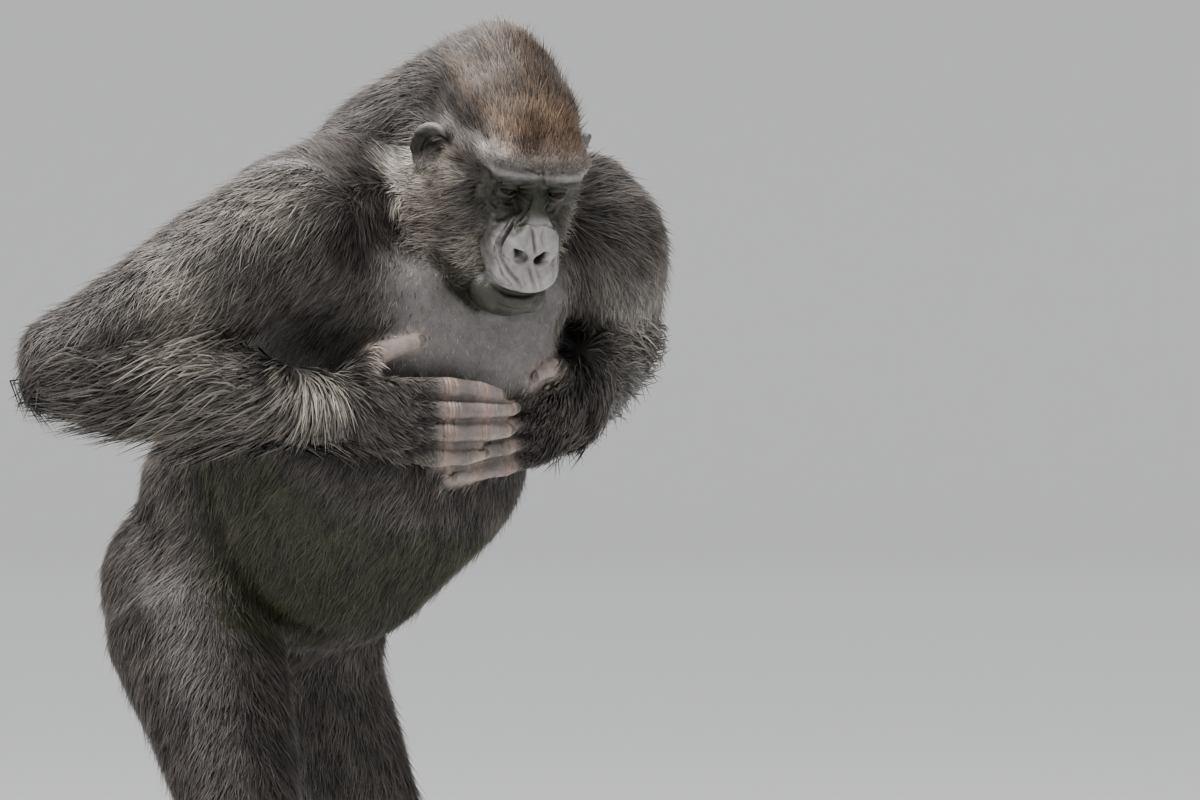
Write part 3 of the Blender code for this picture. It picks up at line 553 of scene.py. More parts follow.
class CoatPlan:
    """For every vertex of the skin: the coat's depth, length, density and lie, and the marks' colours."""

    def __init__(self, net):
        self.net = net
        self.body, self.head = local(net.co, BODY), local(net.co, HEAD)
        self.region = region_of(net.co)
        for word in SIDES:
            self.claim_fingers(word)
        table = {name: COATS[name.split("_")[0]] for name in FLESH}
        self.depth, self.length, self.density = np.array([table[r] for r in self.region]).T
        self.lie = np.tile(heading(0, -0.45, -0.9), (net.n, 1))
        self.pale, self.brown, self.olive = np.zeros((3, net.n))
        self.trunk()
        for word, side in SIDES.items():
            self.leg(word)
            self.arm(word, side)
            self.hand(word)
            self.foot(word)
        self.head_coat()
        self.arm_sheen()
        self.head_tones()
        self.trunk_tones()
        for word in SIDES:
            self.hand_tones(word)
            self.ear_tones(word)
        self.even_out()

    def over(self, name):
        return self.region == name

    def claim_fingers(self, word):
        """Counts all that is close to a finger's middle line to the hand, whichever solid is nearer."""
        place = local(self.net.co, hand_frame(word))[:, [1, 0, 2]]
        for row in [[(c, r) for c in centres] for *centres, r in FINGERS[word]] + [THUMB[word]]:
            for (a, _), (b, r) in zip(row[1:], row[2:]):
                self.region[from_segment(place, a, b) < r + 0.25] = "hand_" + word

    def trunk(self):
        """Down and back over the trunk; short and thin on the bare chest."""
        x, _, z = self.body.T
        self.lie[self.over("neck")] = heading(0, -0.85, -0.5)
        self.lie[self.over("chest")] = heading(0, -0.6, -0.8)
        self.lie[self.over("pelvis")] = heading(0, -0.3, -0.95)
        front = ease(-self.net.normal[:, 1], 0.25, 0.75)
        chest = self.over("chest") | self.over("abdomen")
        aside = np.maximum(x, -0.7 * x)
        self.bare_chest = front * ease(z, 84, 92) * ease(z, 107, 102) * ease(aside, 15, 9) * chest
        self.density *= 0.25 + 0.75 * ease(self.bare_chest, 0.7, 0.2)
        self.length *= 1 - 0.75 * self.bare_chest
        self.depth *= 1 - 0.9 * self.bare_chest

    def leg(self, word):
        hip, knee, ankle = HIP[word], KNEE[word], ANKLE[word]
        self.lie[self.over("thigh_" + word)] = way(hip, knee, 0.5) + heading(0, -1, 0) * 0.35
        self.lie[self.over("shin_" + word)] = way(knee, ankle, 0.2) + heading(0, -1, 0) * 0.25

    def arm(self, word, side):
        """Down the upper arm, outwards over the shoulder; on the forearm back from the wrist to the elbow."""
        shoulder, elbow, wrist = SHOULDER[word], ELBOW[word], WRIST[word]
        normal = self.net.normal
        down, outward = way(shoulder, elbow, 0.35), heading(side * 0.9, -0.1, -0.35)
        cap = ease(-(normal @ down), 0.2, 0.75)[:, None]
        on = self.over("upper_arm_" + word)
        self.lie[on] = (down * (1 - cap) + outward * cap)[on]
        on = self.over("forearm_" + word)
        t = segment_place(self.body, elbow, wrist)
        back_up, fall_off = way(wrist, elbow, 0.25), way(elbow, wrist, 1.6)
        share = ease(t, 0.70, 0.98)[:, None]
        tip = ease(normal @ back_up, 0.3, 0.8)[:, None]
        back_up = back_up * (1 - tip) + heading(-side * 0.2, -0.2, -1.0) * tip
        self.lie[on] = (back_up * (1 - share) + (fall_off + heading(0, 0, -0.6)) * share)[on]
        under = ease(normal[:, 2], 0.1, -0.7)
        self.length[on] *= (1 + 0.35 * under + 0.15 * tip[:, 0] - 0.45 * ease(t, 0.75, 1.05))[on]
        self.depth[on] *= (1 - 0.65 * ease(t, 0.7, 1.0))[on]
        inner = ease(t, 0.72, 0.9) * ease(normal[:, 2], 0.35, 0.8)
        self.density[on] *= (1 - 0.8 * inner)[on]

    def hand(self, word):
        """On the back of the hand, as far as the middle joints and the root of the thumb."""
        where = hand_frame(word)
        thumbward, along, _ = local(self.net.co, where).T
        on = self.over("hand_" + word)
        out = self.net.normal @ out_of_hand(where)
        self.lie[on] = heading(-0.55, 0.8, 0, where)
        hairy = ease(out, -0.25, 0.2) * ease(along, 13.6, 11.0)
        hairy *= np.where(thumbward > 3.8, ease(along, 5.5, 3.5), 1.0)
        fade = ease(along, 13.0, 3.0)
        self.density[on] *= hairy[on]
        self.length[on] *= (0.35 + 0.65 * fade)[on]
        self.depth[on] *= (hairy * (0.2 + 0.8 * fade) * 2.2)[on]

    def foot(self, word):
        """On the top of the foot, thinning over the toes."""
        where = foot_frame(word)
        _, along, up = local(self.net.co, where).T
        on = self.over("foot_" + word)
        hairy = ease(up, 1.4, 3.0) * ease(along, 17.5, 13.0) * ease(self.net.normal[:, 2], -0.35, 0.0)
        self.lie[on] = heading(0, 0.8, -0.6, where)
        self.density[on] *= hairy[on]
        self.depth[on] *= hairy[on]
        self.depth[on] += (0.5 * ease(up, 6.0, 10.0))[on]
        self.length[on] *= (0.5 + 0.5 * ease(along, 14.0, 4.0) + 0.7 * ease(up, 5.0, 9.0))[on]

    def head_coat(self):
        """None on the face, short on the forehead, full on crest, cheeks and ruff, thin round the ears."""
        aside, f, z = self.head.T
        x = np.abs(aside)
        on = self.over("head")
        top = ease(z - 0.1 * x, 3.2, 4.2)
        jaw = ease(z, -7.5, -9.5)
        sides = ease(x - 0.1 * (z + 4) + 1.2 * jaw, 4.0, 5.0) * ease(f - jaw, 11.3, 9.8)
        sides *= np.maximum(ease(z, -0.2, -1.6), ease(x, 6.2, 7.0))
        below = ease(z + 0.35 * (10 - f), -11.4, -14.0)
        behind = ease(f, 6.5, 3.5)
        hairy = np.maximum.reduce((top, sides, below * behind, behind))
        rise, far = ease(z, -0.5, 4.5)[:, None], ease(f, -3.0, -9.0)[:, None]
        lie = heading(0, -0.75, -0.66, HEAD) * (1 - rise) + heading(0, -0.75, 0.66, HEAD) * rise
        lie = lie * (1 - far) + heading(0, -0.95, -0.25, HEAD) * far
        lie += heading(1, 0, 0, HEAD) * (np.sign(aside) * 0.45 * ease(x, 3, 7))[:, None]
        self.lie[on] = lie[on]
        full = np.maximum(ease(f + 0.4 * z, 12.5, 7.5), 0.85 * ease(z, 6.0, 8.5))
        grown = (0.3 + 0.7 * full) * (0.55 + 0.45 * np.maximum(ease(z, 3.4, 7.0), ease(x, 5.0, 7.5)))
        self.depth[on] *= (hairy * (0.25 + 0.75 * full))[on]
        self.length[on] *= (grown * (0.8 + 0.45 * ease(z, 0, -8) * ease(f, 5, 0)))[on]
        by_ear = ease(np.hypot(f - EAR_AT[1], z - EAR_AT[2] + 0.6), 5.0, 2.6) * ease(x, 5.5, 7.0)
        self.depth[on] *= (1 - 0.7 * by_ear)[on]
        self.length[on] *= (1 - 0.6 * by_ear)[on]
        self.density[on] *= (np.where(hairy > 0.3, hairy, 0.0) * (1.25 - 0.45 * full))[on]

    def arm_sheen(self):
        # Painted sheen: lighter patches where the light catches the shoulders and arms
        for centre, r, strength in PAINTED_SHEEN_PATCHES:
            away = np.linalg.norm(self.body - np.array(centre), axis=1)
            self.pale += strength * np.exp(-((away / r) ** 2))

    def head_tones(self):
        """The brown crown, the paler ruff and cheeks, then the face."""
        x, f, z = np.abs(self.head[:, 0]), self.head[:, 1], self.head[:, 2]
        on = self.over("head")
        self.brown += on * ease(z, 5.5, 8.0) * ease(f, -10, -3) * (0.55 + 0.45 * ease(f, 2, 8))
        edge = ease(np.abs(f + 1.5), 4.0, 1.0) * ease(z, 0.5, -1.0) * ease(x, 6.5, 8.5)
        self.pale += on * (edge * 0.5 + 0.2 * ease(z, 5, 0) * ease(f, -3, 4))
        self.brown += on * 0.1 * ease(z, 5, 0) * ease(f, -2, 4)
        tones = face_tones(self.head, self.pale, self.brown, self.olive, on)
        self.pale, self.brown, self.olive = tones

    def trunk_tones(self):
        """The darker olive belly, partly its own colour and partly painted shade, painted shade in the fold
        beside it, and the paler bare chest.
        """
        _, f, z = self.body.T
        belly = self.over("abdomen") | self.over("pelvis")
        # Painted shade along the fold between the belly and the flank
        self.olive += belly * 0.75 * np.exp(-((from_line(self.body, FLANK_FOLD) / 2.4) ** 2))
        # The belly darker: partly its own colour, partly painted shade
        self.olive += belly * 0.85 * ease(f, 6, 12) * ease(z, 56, 62) * ease(z, 86, 78)
        self.pale += self.bare_chest * 0.4

    def hand_tones(self, word):
        """Pale fingers and thumb, paler and browner at the joints, with painted shade between the fingers."""
        place = local(self.net.co, hand_frame(word))
        thumbward, along, _ = place.T
        on = self.over("hand_" + word)
        fingers = on * ease(along, 11.0, 15.0)
        # Painted shade in the gaps between the fingers
        fingers *= (1 - 0.85 * between_fingers(word, place)) * np.where(thumbward > 4.4, 0, 1)
        thumb = on * ease(thumbward, 3.0, 5.0) * ease(along, 2.5, 5.0)
        joints = np.maximum.reduce([np.exp(-(((along - c) / 1.1) ** 2)) for c in JOINTS_ALONG])
        pale = np.maximum(fingers * (0.4 + 0.2 * ease(along, 15, 21) + 0.35 * joints), thumb * 0.9)
        brown = np.maximum(fingers * (0.12 + 0.45 * joints), thumb * 0.3)
        self.pale, self.brown = np.maximum(self.pale, pale), np.maximum(self.brown, brown)

    def ear_tones(self, word):
        """Painted shade in the bowl, and a paler rim."""
        _, f, z = self.head.T
        ear = self.over("ear_" + word)
        hollow = np.hypot(f - EAR_AT[1] + 0.3, z - EAR_AT[2] - 0.4) / EAR_SIZE
        # Painted shade in the ear's bowl
        self.olive = np.maximum(self.olive, ear * ease(hollow, 1.3, 0.7))
        self.pale = np.maximum(self.pale, ear * 0.35 * ease(hollow, 1.1, 1.6))

    def even_out(self):
        """Spreads the values over their neighbours, and keeps the lie along the skin."""
        net = self.net
        self.depth, self.length = net.spread(self.depth, 18), net.spread(self.length, 10)
        tones = [np.clip(net.spread(v, 4), 0, 1) for v in (self.pale, self.brown, self.olive)]
        self.marks = np.column_stack(tones)
        for _ in range(6):
            self.lie = net.spread(unit(along_skin(self.lie, net.normal)), 5)
        self.lie = unit(along_skin(self.lie, net.normal))


def along_skin(rows, normal):
    return rows - normal * np.sum(rows * normal, axis=1, keepdims=True)


# ---------------------------------------------------------------- face
NOSTRILS = ((-1.7, 14.3, -4.8), (1.25, 14.3, -5.0))


def face_tones(head, pale, brown, olive, on):
    """The brow, nose and lip paler, as painted sheen, and painted shade in olive round and between the eyes,
    on the chin and in the nostrils.
    """
    x, f, z = head.T
    side = np.abs(x)
    front = ease(f, 5.5, 8.0) * on
    # Painted sheen, in the pale skin colour, on the brow and on the muzzle's nose and upper lip
    brow = ease(z, 3.0, 3.9) * ease(z - 0.12 * side, 6.7, 5.7) * ease(side, 8.5, 6.8)
    half = np.interp(z, (-10.6, -8.5, -5.0, -3.0, -1.6, -0.4, 0.6), (3.4, 4.4, 4.5, 3.7, 2.2, 1.3, 0.7))
    muzzle = ease(np.abs(x - 0.3) / half, 1.15, 0.8) * ease(f, 10.2, 12.0)
    muzzle = muzzle * ease(z, 0.8, -1.4) * ease(z, -10.9, -10.2)
    cheek = ease(np.hypot((side - 5.2) / 3.0, (z + 8.0) / 2.8), 1.1, 0.3) * ease(f, 7.0, 9.5)
    brow = brow * (0.75 - 0.42 * ease(z, 3.7, 4.6))
    skin = np.maximum.reduce((brow, muzzle, cheek * 0.35, 0.04 * front))
    # Painted shade, in olive: round the eyes under the brow, between them, on the chin and in the nostrils
    painted_eye_shade = ease(z, -3.4, -1.2) * ease(z, 3.4, 2.9) * ease(side, 7.4, 5.8) * (1 - muzzle)
    bridge = ease(side, 1.9, 1.2) * ease(z, -1.4, 0.4) * ease(z, 3.6, 2.9)
    chin = ease(z, -9.9, -10.6) * ease(f, 5, 8)
    holes = [np.linalg.norm(head - np.array(c), axis=1) for c in NOSTRILS]
    holes = ease(np.minimum(*holes), 1.0, 0.55)
    dark = np.maximum.reduce((painted_eye_shade * 0.8, bridge, chin * 0.75, holes))
    pale = np.where(front > 0, pale * (1 - front) + skin * front * (1 - 0.8 * chin), pale)
    brown = brown * (1 - front * ease(z, 6.0, 4.0))
    return pale, brown, olive + dark * front


def press(p, tree, push, line, width, depth, mirror=True):
    """Lowers the surface along a line of places, brought on to the surface. A negative depth raises it."""
    for s in (1, -1) if mirror else (1,):
        points = [Vector((s * x, f, z)) for x, f, z in line]
        points = [a.lerp(b, k / 5) for a, b in zip(points, points[1:]) for k in range(5)] + points[-1:]
        points = np.array([tree.find(point)[0] for point in points], float)
        ends = np.minimum(1, np.arange(len(points)) / 4) * np.minimum(1, np.arange(len(points))[::-1] / 4)
        low, high = points.min(0) - 3 * width, points.max(0) + 3 * width
        near = np.nonzero(within(p, low, high))[0]
        best, strength = np.full(len(near), np.inf), np.zeros(len(near))
        for i in range(len(points) - 1):
            a, b = points[i], points[i + 1]
            t = np.clip(segment_place(p[near], a, b + 1e-9), 0, 1)
            away = np.linalg.norm(p[near] - a - t[:, None] * (b - a), axis=1)
            closer = away < best
            best[closer] = away[closer]
            strength[closer] = (0.35 + 0.65 * (ends[i] * (1 - t) + ends[i + 1] * t))[closer]
        push[near] -= depth * strength * np.exp(-((best / width) ** 2))


CREASES = (  # a line of places on the head, its width and depth; both sides alike
    # brow: the fold over each lid
    ([(1.7, 10.9, 2.6), (3.2, 11.0, 2.6), (4.8, 10.4, 2.3), (6.0, 9.0, 1.6)], 0.26, 0.3),
    # folds from the eye's inner corner down beside the nose
    ([(0.9, 11.4, 1.6), (1.2, 12.0, 0.2), (1.7, 12.8, -0.8), (2.6, 13.4, -1.7)], 0.2, 0.38),
    ([(1.5, 10.8, -0.2), (2.1, 11.0, -1.5), (2.9, 11.1, -2.4), (4.1, 10.7, -2.9)], 0.24, 0.42),
    ([(1.6, 11.2, -1.2), (2.4, 11.6, -2.1), (3.3, 11.5, -3.0)], 0.18, 0.28),
    # under the eyes
    ([(4.6, 9.0, -0.2), (3.4, 9.8, -0.9), (2.3, 10.0, -0.7), (1.8, 10.6, 0.1)], 0.18, 0.26),
    ([(5.0, 9.0, -0.9), (3.8, 9.8, -1.5), (2.8, 10.2, -1.4)], 0.18, 0.2),
    ([(5.4, 8.8, -1.7), (4.4, 9.8, -2.2), (3.4, 10.5, -2.2)], 0.2, 0.14),
    ([(5.6, 8.8, 1.2), (6.4, 8.2, 0.6), (6.6, 7.8, -0.4)], 0.22, 0.18),
    # nose: wrinkle across its root, the rims over the nostrils
    ([(2.7, 13.6, -1.8), (2.0, 13.9, -1.1), (1.0, 13.9, -0.9), (0, 13.9, -1.2)], 0.18, 0.32),
    ([(2.8, 14.4, -3.5), (2.0, 15.0, -3.6), (1.0, 15.2, -4.0)], 0.42, -0.26),
    ([(3.0, 14.0, -4.4), (2.9, 14.4, -5.2), (2.2, 14.8, -5.8), (1.2, 15.2, -6.1)], 0.34, -0.22),
    # the deep groove round the nose, with the fold and a second groove outside it
    (
        [(1.8, 12.2, -1.3), (2.8, 13.1, -2.3), (3.5, 13.7, -3.7), (3.6, 13.8, -5.1), (3.3, 14.3, -6.2)],
        0.22,
        0.55,
    ),
    ([(3.8, 12.7, -3.4), (4.1, 13.2, -4.8), (3.9, 13.9, -6.0)], 0.26, -0.24),
    ([(3.2, 11.4, -2.8), (4.1, 12.2, -4.1), (4.5, 13.0, -5.2), (4.2, 13.9, -6.5)], 0.2, 0.36),
    ([(4.0, 11.2, -3.6), (4.9, 11.8, -4.9), (5.1, 12.4, -6.2)], 0.22, 0.16),
)
CREASES_ASIDE = (  # the same, on one side only
    # brow: a central crease, smaller ones beside it, wrinkles that run into them
    ([(-0.2, 11.2, 6.6), (-0.4, 11.4, 5.2), (0.2, 11.2, 3.2), (0.1, 11.3, 2.2)], 0.18, 0.3),
    ([(-2.8, 11.3, 5.0), (-1.6, 11.4, 4.7), (-0.3, 11.2, 3.6)], 0.16, 0.2),
    ([(-3.4, 11.3, 3.9), (-1.8, 11.3, 3.7), (-0.4, 11.2, 3.0)], 0.16, 0.16),
    ([(0.8, 11.3, 5.6), (1.0, 11.3, 4.3), (1.2, 11.0, 2.9)], 0.16, 0.24),
    ([(-1.9, 11.2, 5.8), (-0.6, 11.4, 5.4), (0.6, 11.4, 5.4)], 0.14, 0.16),
    ([(3.6, 11.2, 5.1), (1.9, 11.2, 4.3), (1.2, 11.0, 3.3)], 0.16, 0.18),
    ([(4.6, 10.9, 6.0), (3.0, 11.2, 5.6), (1.8, 11.3, 5.6)], 0.14, 0.1),
    # nose: cleft, nostrils, septum
    ([(-0.7, 14.1, -1.2), (-0.4, 14.8, -2.5), (-0.1, 15.4, -3.8), (0.1, 15.4, -4.5)], 0.18, 0.55),
    ([(0.9, 14.0, -1.2), (0.7, 14.6, -2.3)], 0.16, 0.24),
    ([(-2.5, 15.0, -4.2), (-1.7, 15.0, -4.7), (-0.9, 14.9, -5.3)], 0.36, 1.5),
    ([(0.75, 14.9, -5.5), (1.15, 15.0, -5.0), (1.75, 15.0, -4.3)], 0.34, 1.5),
    ([(-0.1, 15.3, -4.9), (0.1, 15.3, -5.8)], 0.3, -0.25),
    # the groove's ends over the lip
    ([(-3.3, 14.3, -6.2), (-2.6, 15.2, -7.0), (-1.6, 15.8, -7.8), (-0.6, 15.9, -8.9)], 0.2, 0.5),
    ([(3.3, 14.3, -6.2), (3.5, 14.9, -7.4), (3.6, 14.9, -8.9)], 0.2, 0.36),
    ([(-4.2, 13.9, -6.5), (-3.2, 14.8, -7.7), (-1.9, 15.4, -8.9)], 0.18, 0.36),
    ([(-3.6, 14.4, -6.6), (-2.7, 15.2, -7.6), (-1.6, 15.8, -8.5)], 0.18, -0.22),
    # upper lip: furrows under the septum and fine ones beside them
    ([(-0.3, 15.2, -5.9), (0.1, 15.8, -6.8), (0.8, 16.0, -8.0), (1.4, 15.6, -9.2)], 0.17, 0.4),
    ([(0.5, 15.1, -5.8), (1.2, 15.8, -6.9), (1.9, 15.9, -8.0), (2.4, 15.5, -9.0)], 0.17, 0.3),
    ([(-1.2, 15.6, -6.6), (-0.6, 15.9, -7.8), (0.2, 15.8, -9.2)], 0.17, 0.14),
    ([(-2.2, 15.4, -8.6), (-2.1, 15.0, -9.6)], 0.18, 0.1),
    ([(2.9, 15.0, -7.4), (3.1, 15.0, -9.2)], 0.18, 0.12),
    # mouth, lower lip, the corner and the chin's crease
    (
        [(-3.5, 13.6, -9.4), (-2.6, 15.0, -9.9), (-1.4, 15.2, -10.2), (0, 15, -10.4), (1.4, 15, -10.4)],
        0.2,
        0.7,
    ),
    ([(1.4, 15.0, -10.4), (2.8, 14.6, -10.3), (3.8, 13.9, -10.0), (4.6, 12.2, -9.6)], 0.2, 0.7),
    ([(-3.4, 13.4, -10.3), (-1.4, 14.8, -11.0), (1.2, 14.8, -11.2), (3.4, 13.8, -10.9)], 0.36, -0.24),
    ([(-3.7, 13.2, -9.1), (-4.5, 11.8, -9.2)], 0.28, 0.24),
    ([(-3.0, 13.2, -12.0), (-1.0, 14.0, -12.4), (1.4, 14.0, -12.4), (3.0, 13.0, -12.0)], 0.4, 0.2),
)


def sculpt_face(p):
    """Folds, furrows, nostrils and mouth. Returns how far each place moves along its normal."""
    push = np.zeros(len(p))
    tree = KDTree(len(p))
    for i, place in enumerate(p):
        tree.insert(place, i)
    tree.balance()
    for line, width, depth in CREASES:
        press(p, tree, push, line, width, depth)
    for line, width, depth in CREASES_ASIDE:
        press(p, tree, push, line, width, depth, mirror=False)
    return push


GAZE_IN, GAZE_UP = math.radians(13), math.radians(8)
UPPER_LID, LOWER_LID, LID_MIDDLE, LID_HALF = 0.38, 0.42, 0.2, 1.24
LID_PROUD = 0.14
LID_REACH = 3.2  # how far from the middle of the eye the lids may move the skin


def lids(p):
    """Opens an almond in the skin round each eye, with lids that stand proud of the eyeball."""
    for side in (-1, 1):
        centre = np.array((side * EYE_AT[0], EYE_AT[1], EYE_AT[2]))
        v = p - centre
        r = np.linalg.norm(v, axis=1)
        near = (r < LID_REACH) & (v[:, 1] > -0.1)
        across = side * np.arctan2(v[:, 0], v[:, 1]) * EYE_R
        up = np.arctan2(v[:, 2], np.hypot(v[:, 0], v[:, 1])) * EYE_R
        middle = LID_MIDDLE + 0.1 * across / LID_HALF
        curve = np.clip(1 - (across / LID_HALF) ** 2, 0, 1)
        above, under = UPPER_LID * curve**0.7, LOWER_LID * curve**0.8
        gap = np.where(up > middle, up - middle - above, middle - under - up)
        gap = np.maximum(gap, np.abs(across) - LID_HALF)
        lip = EYE_R + LID_PROUD + LID_PROUD * ease(up, 0.0, 0.6)
        soft = ease(gap, -0.05, 0.09)
        wanted = (EYE_R - LID_PROUD) * (1 - soft) + lip * soft
        share = ease(gap, 1.25, 0.25) * near
        new = r * (1 - share) + wanted * share
        p = centre + v * (new / np.maximum(r, 1e-6))[:, None]
    return p


def face_near(p):
    """1 over the bare face, less at its edges."""
    return ease(p[:, 1], 4.0, 6.5) * ease(p[:, 2], 8.5, 7.0)


# ---------------------------------------------------------------- skin
MOST_TRIANGLES = 196000  # of any one piece
UNWRAP_TRIANGLES = 9000
GROWN = 0.0007  # how far the solids grow until they meet, in metres
SETTLE_WITHIN = 0.008  # how far the skin may be drawn on to the fine surface, in metres
FINE_VOXEL = 0.3  # the fine surface's grid against the skin's
FAR = 1000.0  # beyond any place
FAR_SHOULDER = (((19.5, 37.0, 112.4), 5.2), ((12.0, 33.0, 112.0), 6.0), ((5.0, 31.0, 110.0), 7.0))


def fused(bm, name, voxel, times):
    """One closed, smoothed surface round all the forms."""
    mesh = bpy.data.meshes.new(name)
    bm.to_mesh(mesh)
    bm.free()
    obj = linked(name, mesh)
    m = obj.modifiers.new("fuse", "REMESH")
    m.mode, m.voxel_size, m.adaptivity = "VOXEL", voxel, 0.0
    apply_modifiers(obj)
    smooth_where(obj, lambda co: np.ones(len(co)), times)
    return obj


def fine_forms(bm):
    head_forms(bm)
    for word, side in SIDES.items():
        ear_forms(bm, side)
        hand_forms(bm, word)
        foot_forms(bm, word)


def solid_forms(bm):
    """The solids of trunk and limbs, grown until they meet."""
    for name in FLESH:
        if name.split("_")[0] in FINE_NODES:
            continue
        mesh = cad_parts[name].data.copy()
        part = bmesh.new()
        part.from_mesh(mesh)
        bmesh.ops.remove_doubles(part, verts=part.verts, dist=1e-6)
        bmesh.ops.recalc_face_normals(part, faces=part.faces)
        part.normal_update()
        for v in part.verts:
            v.co += v.normal * GROWN
        part.to_mesh(mesh)
        part.free()
        bm.from_mesh(mesh)
        bpy.data.meshes.remove(mesh)
    hull(bm, *[ball(at, r) for at, r in FAR_SHOULDER])


def fine_tree(voxel):
    """The face, ears, hands and feet as a fine surface to settle on."""
    bm = bmesh.new()
    fine_forms(bm)
    obj = fused(bm, "fine", voxel, 2)
    obj.data.calc_loop_triangles()
    tris = rows_of(obj.data.loop_triangles, "vertices", 3, np.int32)
    tree = BVHTree.FromPolygons(rows_of(obj.data.vertices, "co", 3).tolist(), tris.tolist())
    bpy.data.objects.remove(obj)
    return tree


def settle(obj, tree, where):
    """Moves the vertices that a test picks on to the fine surface."""
    net = Net(obj.data)
    chosen = np.nonzero(where(net.co))[0]
    for i in chosen:
        spot, normal, _, away = tree.find_nearest(net.co[i].tolist())
        if away < SETTLE_WITHIN and Vector(net.normal[i]).dot(normal) > 0.2:
            net.co[i] = spot
    place_vertices(obj, net.co)


def near_fine(co):
    """Face, ears, hands and the front of the feet."""
    p = local(co, HEAD)
    near = within(p, (-8.5, 4.5, -16), (8.5, FAR, 8.2))
    near |= within(np.abs(p - (0, 0, 0.8)), (7.0, -FAR, -FAR), (FAR, 5.5, 5.5))
    for word in SIDES:
        near |= within(local(co, hand_frame(word)), (-11, 4, -5), (11, 27, 5))
        near |= within(local(co, foot_frame(word)), (-12, 8, -FAR), (12, 26, 5))
    return near


def near_parts(co):
    """Face, ears and fingers."""
    p = local(co, HEAD)
    near = within(p, (-8, 5.5, -FAR), (8, FAR, 8.2))
    near |= within(np.abs(p - (0, 0, 0.8)), (7.4, -FAR, -FAR), (FAR, 5, 5))
    for word in SIDES:
        near |= within(local(co, hand_frame(word)), (-9, 10, -5), (9, FAR, 5))
    return near


def near_features(co):
    """Eyes, nose and mouth."""
    p = local(co, HEAD)
    near = (np.hypot(p[:, 0] - 0.4, (p[:, 2] + 6.0) * 0.8) < 4.8) & (p[:, 1] > 11.5)
    for side in (-1, 1):
        eye = np.array((side * EYE_AT[0], EYE_AT[1] + 0.9, EYE_AT[2]))
        near |= np.linalg.norm(p - eye, axis=1) < 2.2
    return near


def refine(obj, wanted):
    """Halves the edges of the faces that a test of their vertices picks."""
    bm = bmesh.new()
    bm.from_mesh(obj.data)
    chosen = wanted(Net(obj.data).co)
    bm.verts.ensure_lookup_table()
    edges = [e for e in bm.edges if chosen[e.verts[0].index] and chosen[e.verts[1].index]]
    bmesh.ops.subdivide_edges(bm, edges=edges, cuts=1, use_grid_fill=True)
    bmesh.ops.triangulate(bm, faces=bm.faces)
    bm.to_mesh(obj.data)
    bm.free()


def smooth_where(obj, share, times):
    """Smooths the skin by the share that a function of its places gives."""
    net = Net(obj.data)
    pace = np.asarray(share(net.co), float) * 0.5
    place_vertices(obj, net.spread(net.co, times, pace))


def crease_hands(co, normal):
    """Creases across the joints of the fingers, and shallow hollows between."""
    push = np.zeros(len(co))
    for word in SIDES:
        where = hand_frame(word)
        place = local(co, where)
        thumbward, along, _ = place.T
        out = normal @ out_of_hand(where)
        for _, joint, second, _, r in FINGERS[word]:
            beside = ease(np.abs(thumbward - joint[1]), r * 1.1, r * 0.8)
            for centre, spread, strength in ((joint, 0.9, 0.24), (second, 0.7, 0.2)):
                raised = 0.13 * np.exp(-(((along - centre[0]) / spread) ** 2))
                push += raised * beside * ease(out, -0.3, 0.6)
                for k in (-0.8, -0.3, 0.2, 0.65):
                    lowered = np.exp(-(((along - centre[0] - k * spread) / 0.12) ** 2))
                    push -= strength * lowered * beside * ease(out, -0.1, 0.5)
        near = within(place, (-7, -FAR, -4), (7, 23.5, 4))
        push -= 0.3 * between_fingers(word, place) * near * ease(np.abs(out), 0.0, 0.4)
    return push


def hollow_ears(co):
    """The bowl of each ear, and the groove between its fold and its rim."""
    push = np.zeros(len(co))
    for side in SIDES.values():
        place = local(co, ear_frame(side)) / EAR_SIZE
        r = np.hypot((place[:, 1] + 0.15) / 1.05, (place[:, 2] - 0.2) / 1.5)
        middle = 0.5 * ease(r, 0.85, 0.3)
        groove = 0.2 * np.exp(-(((r - 1.05) / 0.14) ** 2)) * ease(place[:, 2], -0.9, 0.0)
        push += (middle + groove) * (side * place[:, 0] > -0.1) * (np.abs(place[:, 0]) < 1.0)
    return push


def open_lids(obj):
    net = Net(obj.data)
    p = local(net.co, HEAD)
    on = face_near(p) > 0
    turned = np.array(HEAD)
    net.co[on] = (lids(p[on]) * (1, -1, 1) @ turned[:3, :3].T + turned[:3, 3]) * CM
    place_vertices(obj, net.co)


def carve(obj):
    """The creases of face and hands, the fold at the flank and the bowls of the ears."""
    net = Net(obj.data)
    p = local(net.co, HEAD)
    share = face_near(p)
    on = share > 0
    push = np.zeros(net.n)
    push[on] = sculpt_face(p[on]) * share[on]
    push += crease_hands(net.co, net.normal)
    push -= FOLD_DEPTH * np.exp(-((from_line(local(net.co, BODY), FLANK_FOLD) / FOLD_WIDTH) ** 2))
    push -= hollow_ears(net.co)
    place_vertices(obj, net.co + net.normal * (push * CM)[:, None])


def make_skin(voxel):
    """The skin, as far inside the solids as the coat is deep, and the plan of the coat on it."""
    bm = bmesh.new()
    fine_forms(bm)
    solid_forms(bm)
    obj = fused(bm, "skin", voxel, 3)
    tree = fine_tree(voxel * FINE_VOXEL)
    for where in (near_fine, near_parts, near_features):
        refine(obj, where)
        settle(obj, tree, where)
        smooth_where(obj, where, 2)
    net = Net(obj.data)
    plan = CoatPlan(net)
    co = net.co - net.normal * (plan.depth * CM)[:, None]
    co = net.spread(co, 2, 0.4 * ease(plan.depth, 0.1, 0.5))
    co[:, 2] = np.maximum(co[:, 2], SOLE)
    place_vertices(obj, co)
    open_lids(obj)
    carve(obj)
    obj.data.shade_smooth()
    return obj, plan


def thin(obj, most):
    """Fewer faces where the surface is flat, down to that many triangles."""
    count = sum(len(poly.vertices) - 2 for poly in obj.data.polygons)
    m = obj.modifiers.new("thin", "DECIMATE")
    m.ratio = min(1.0, most / count)
    apply_modifiers(obj)


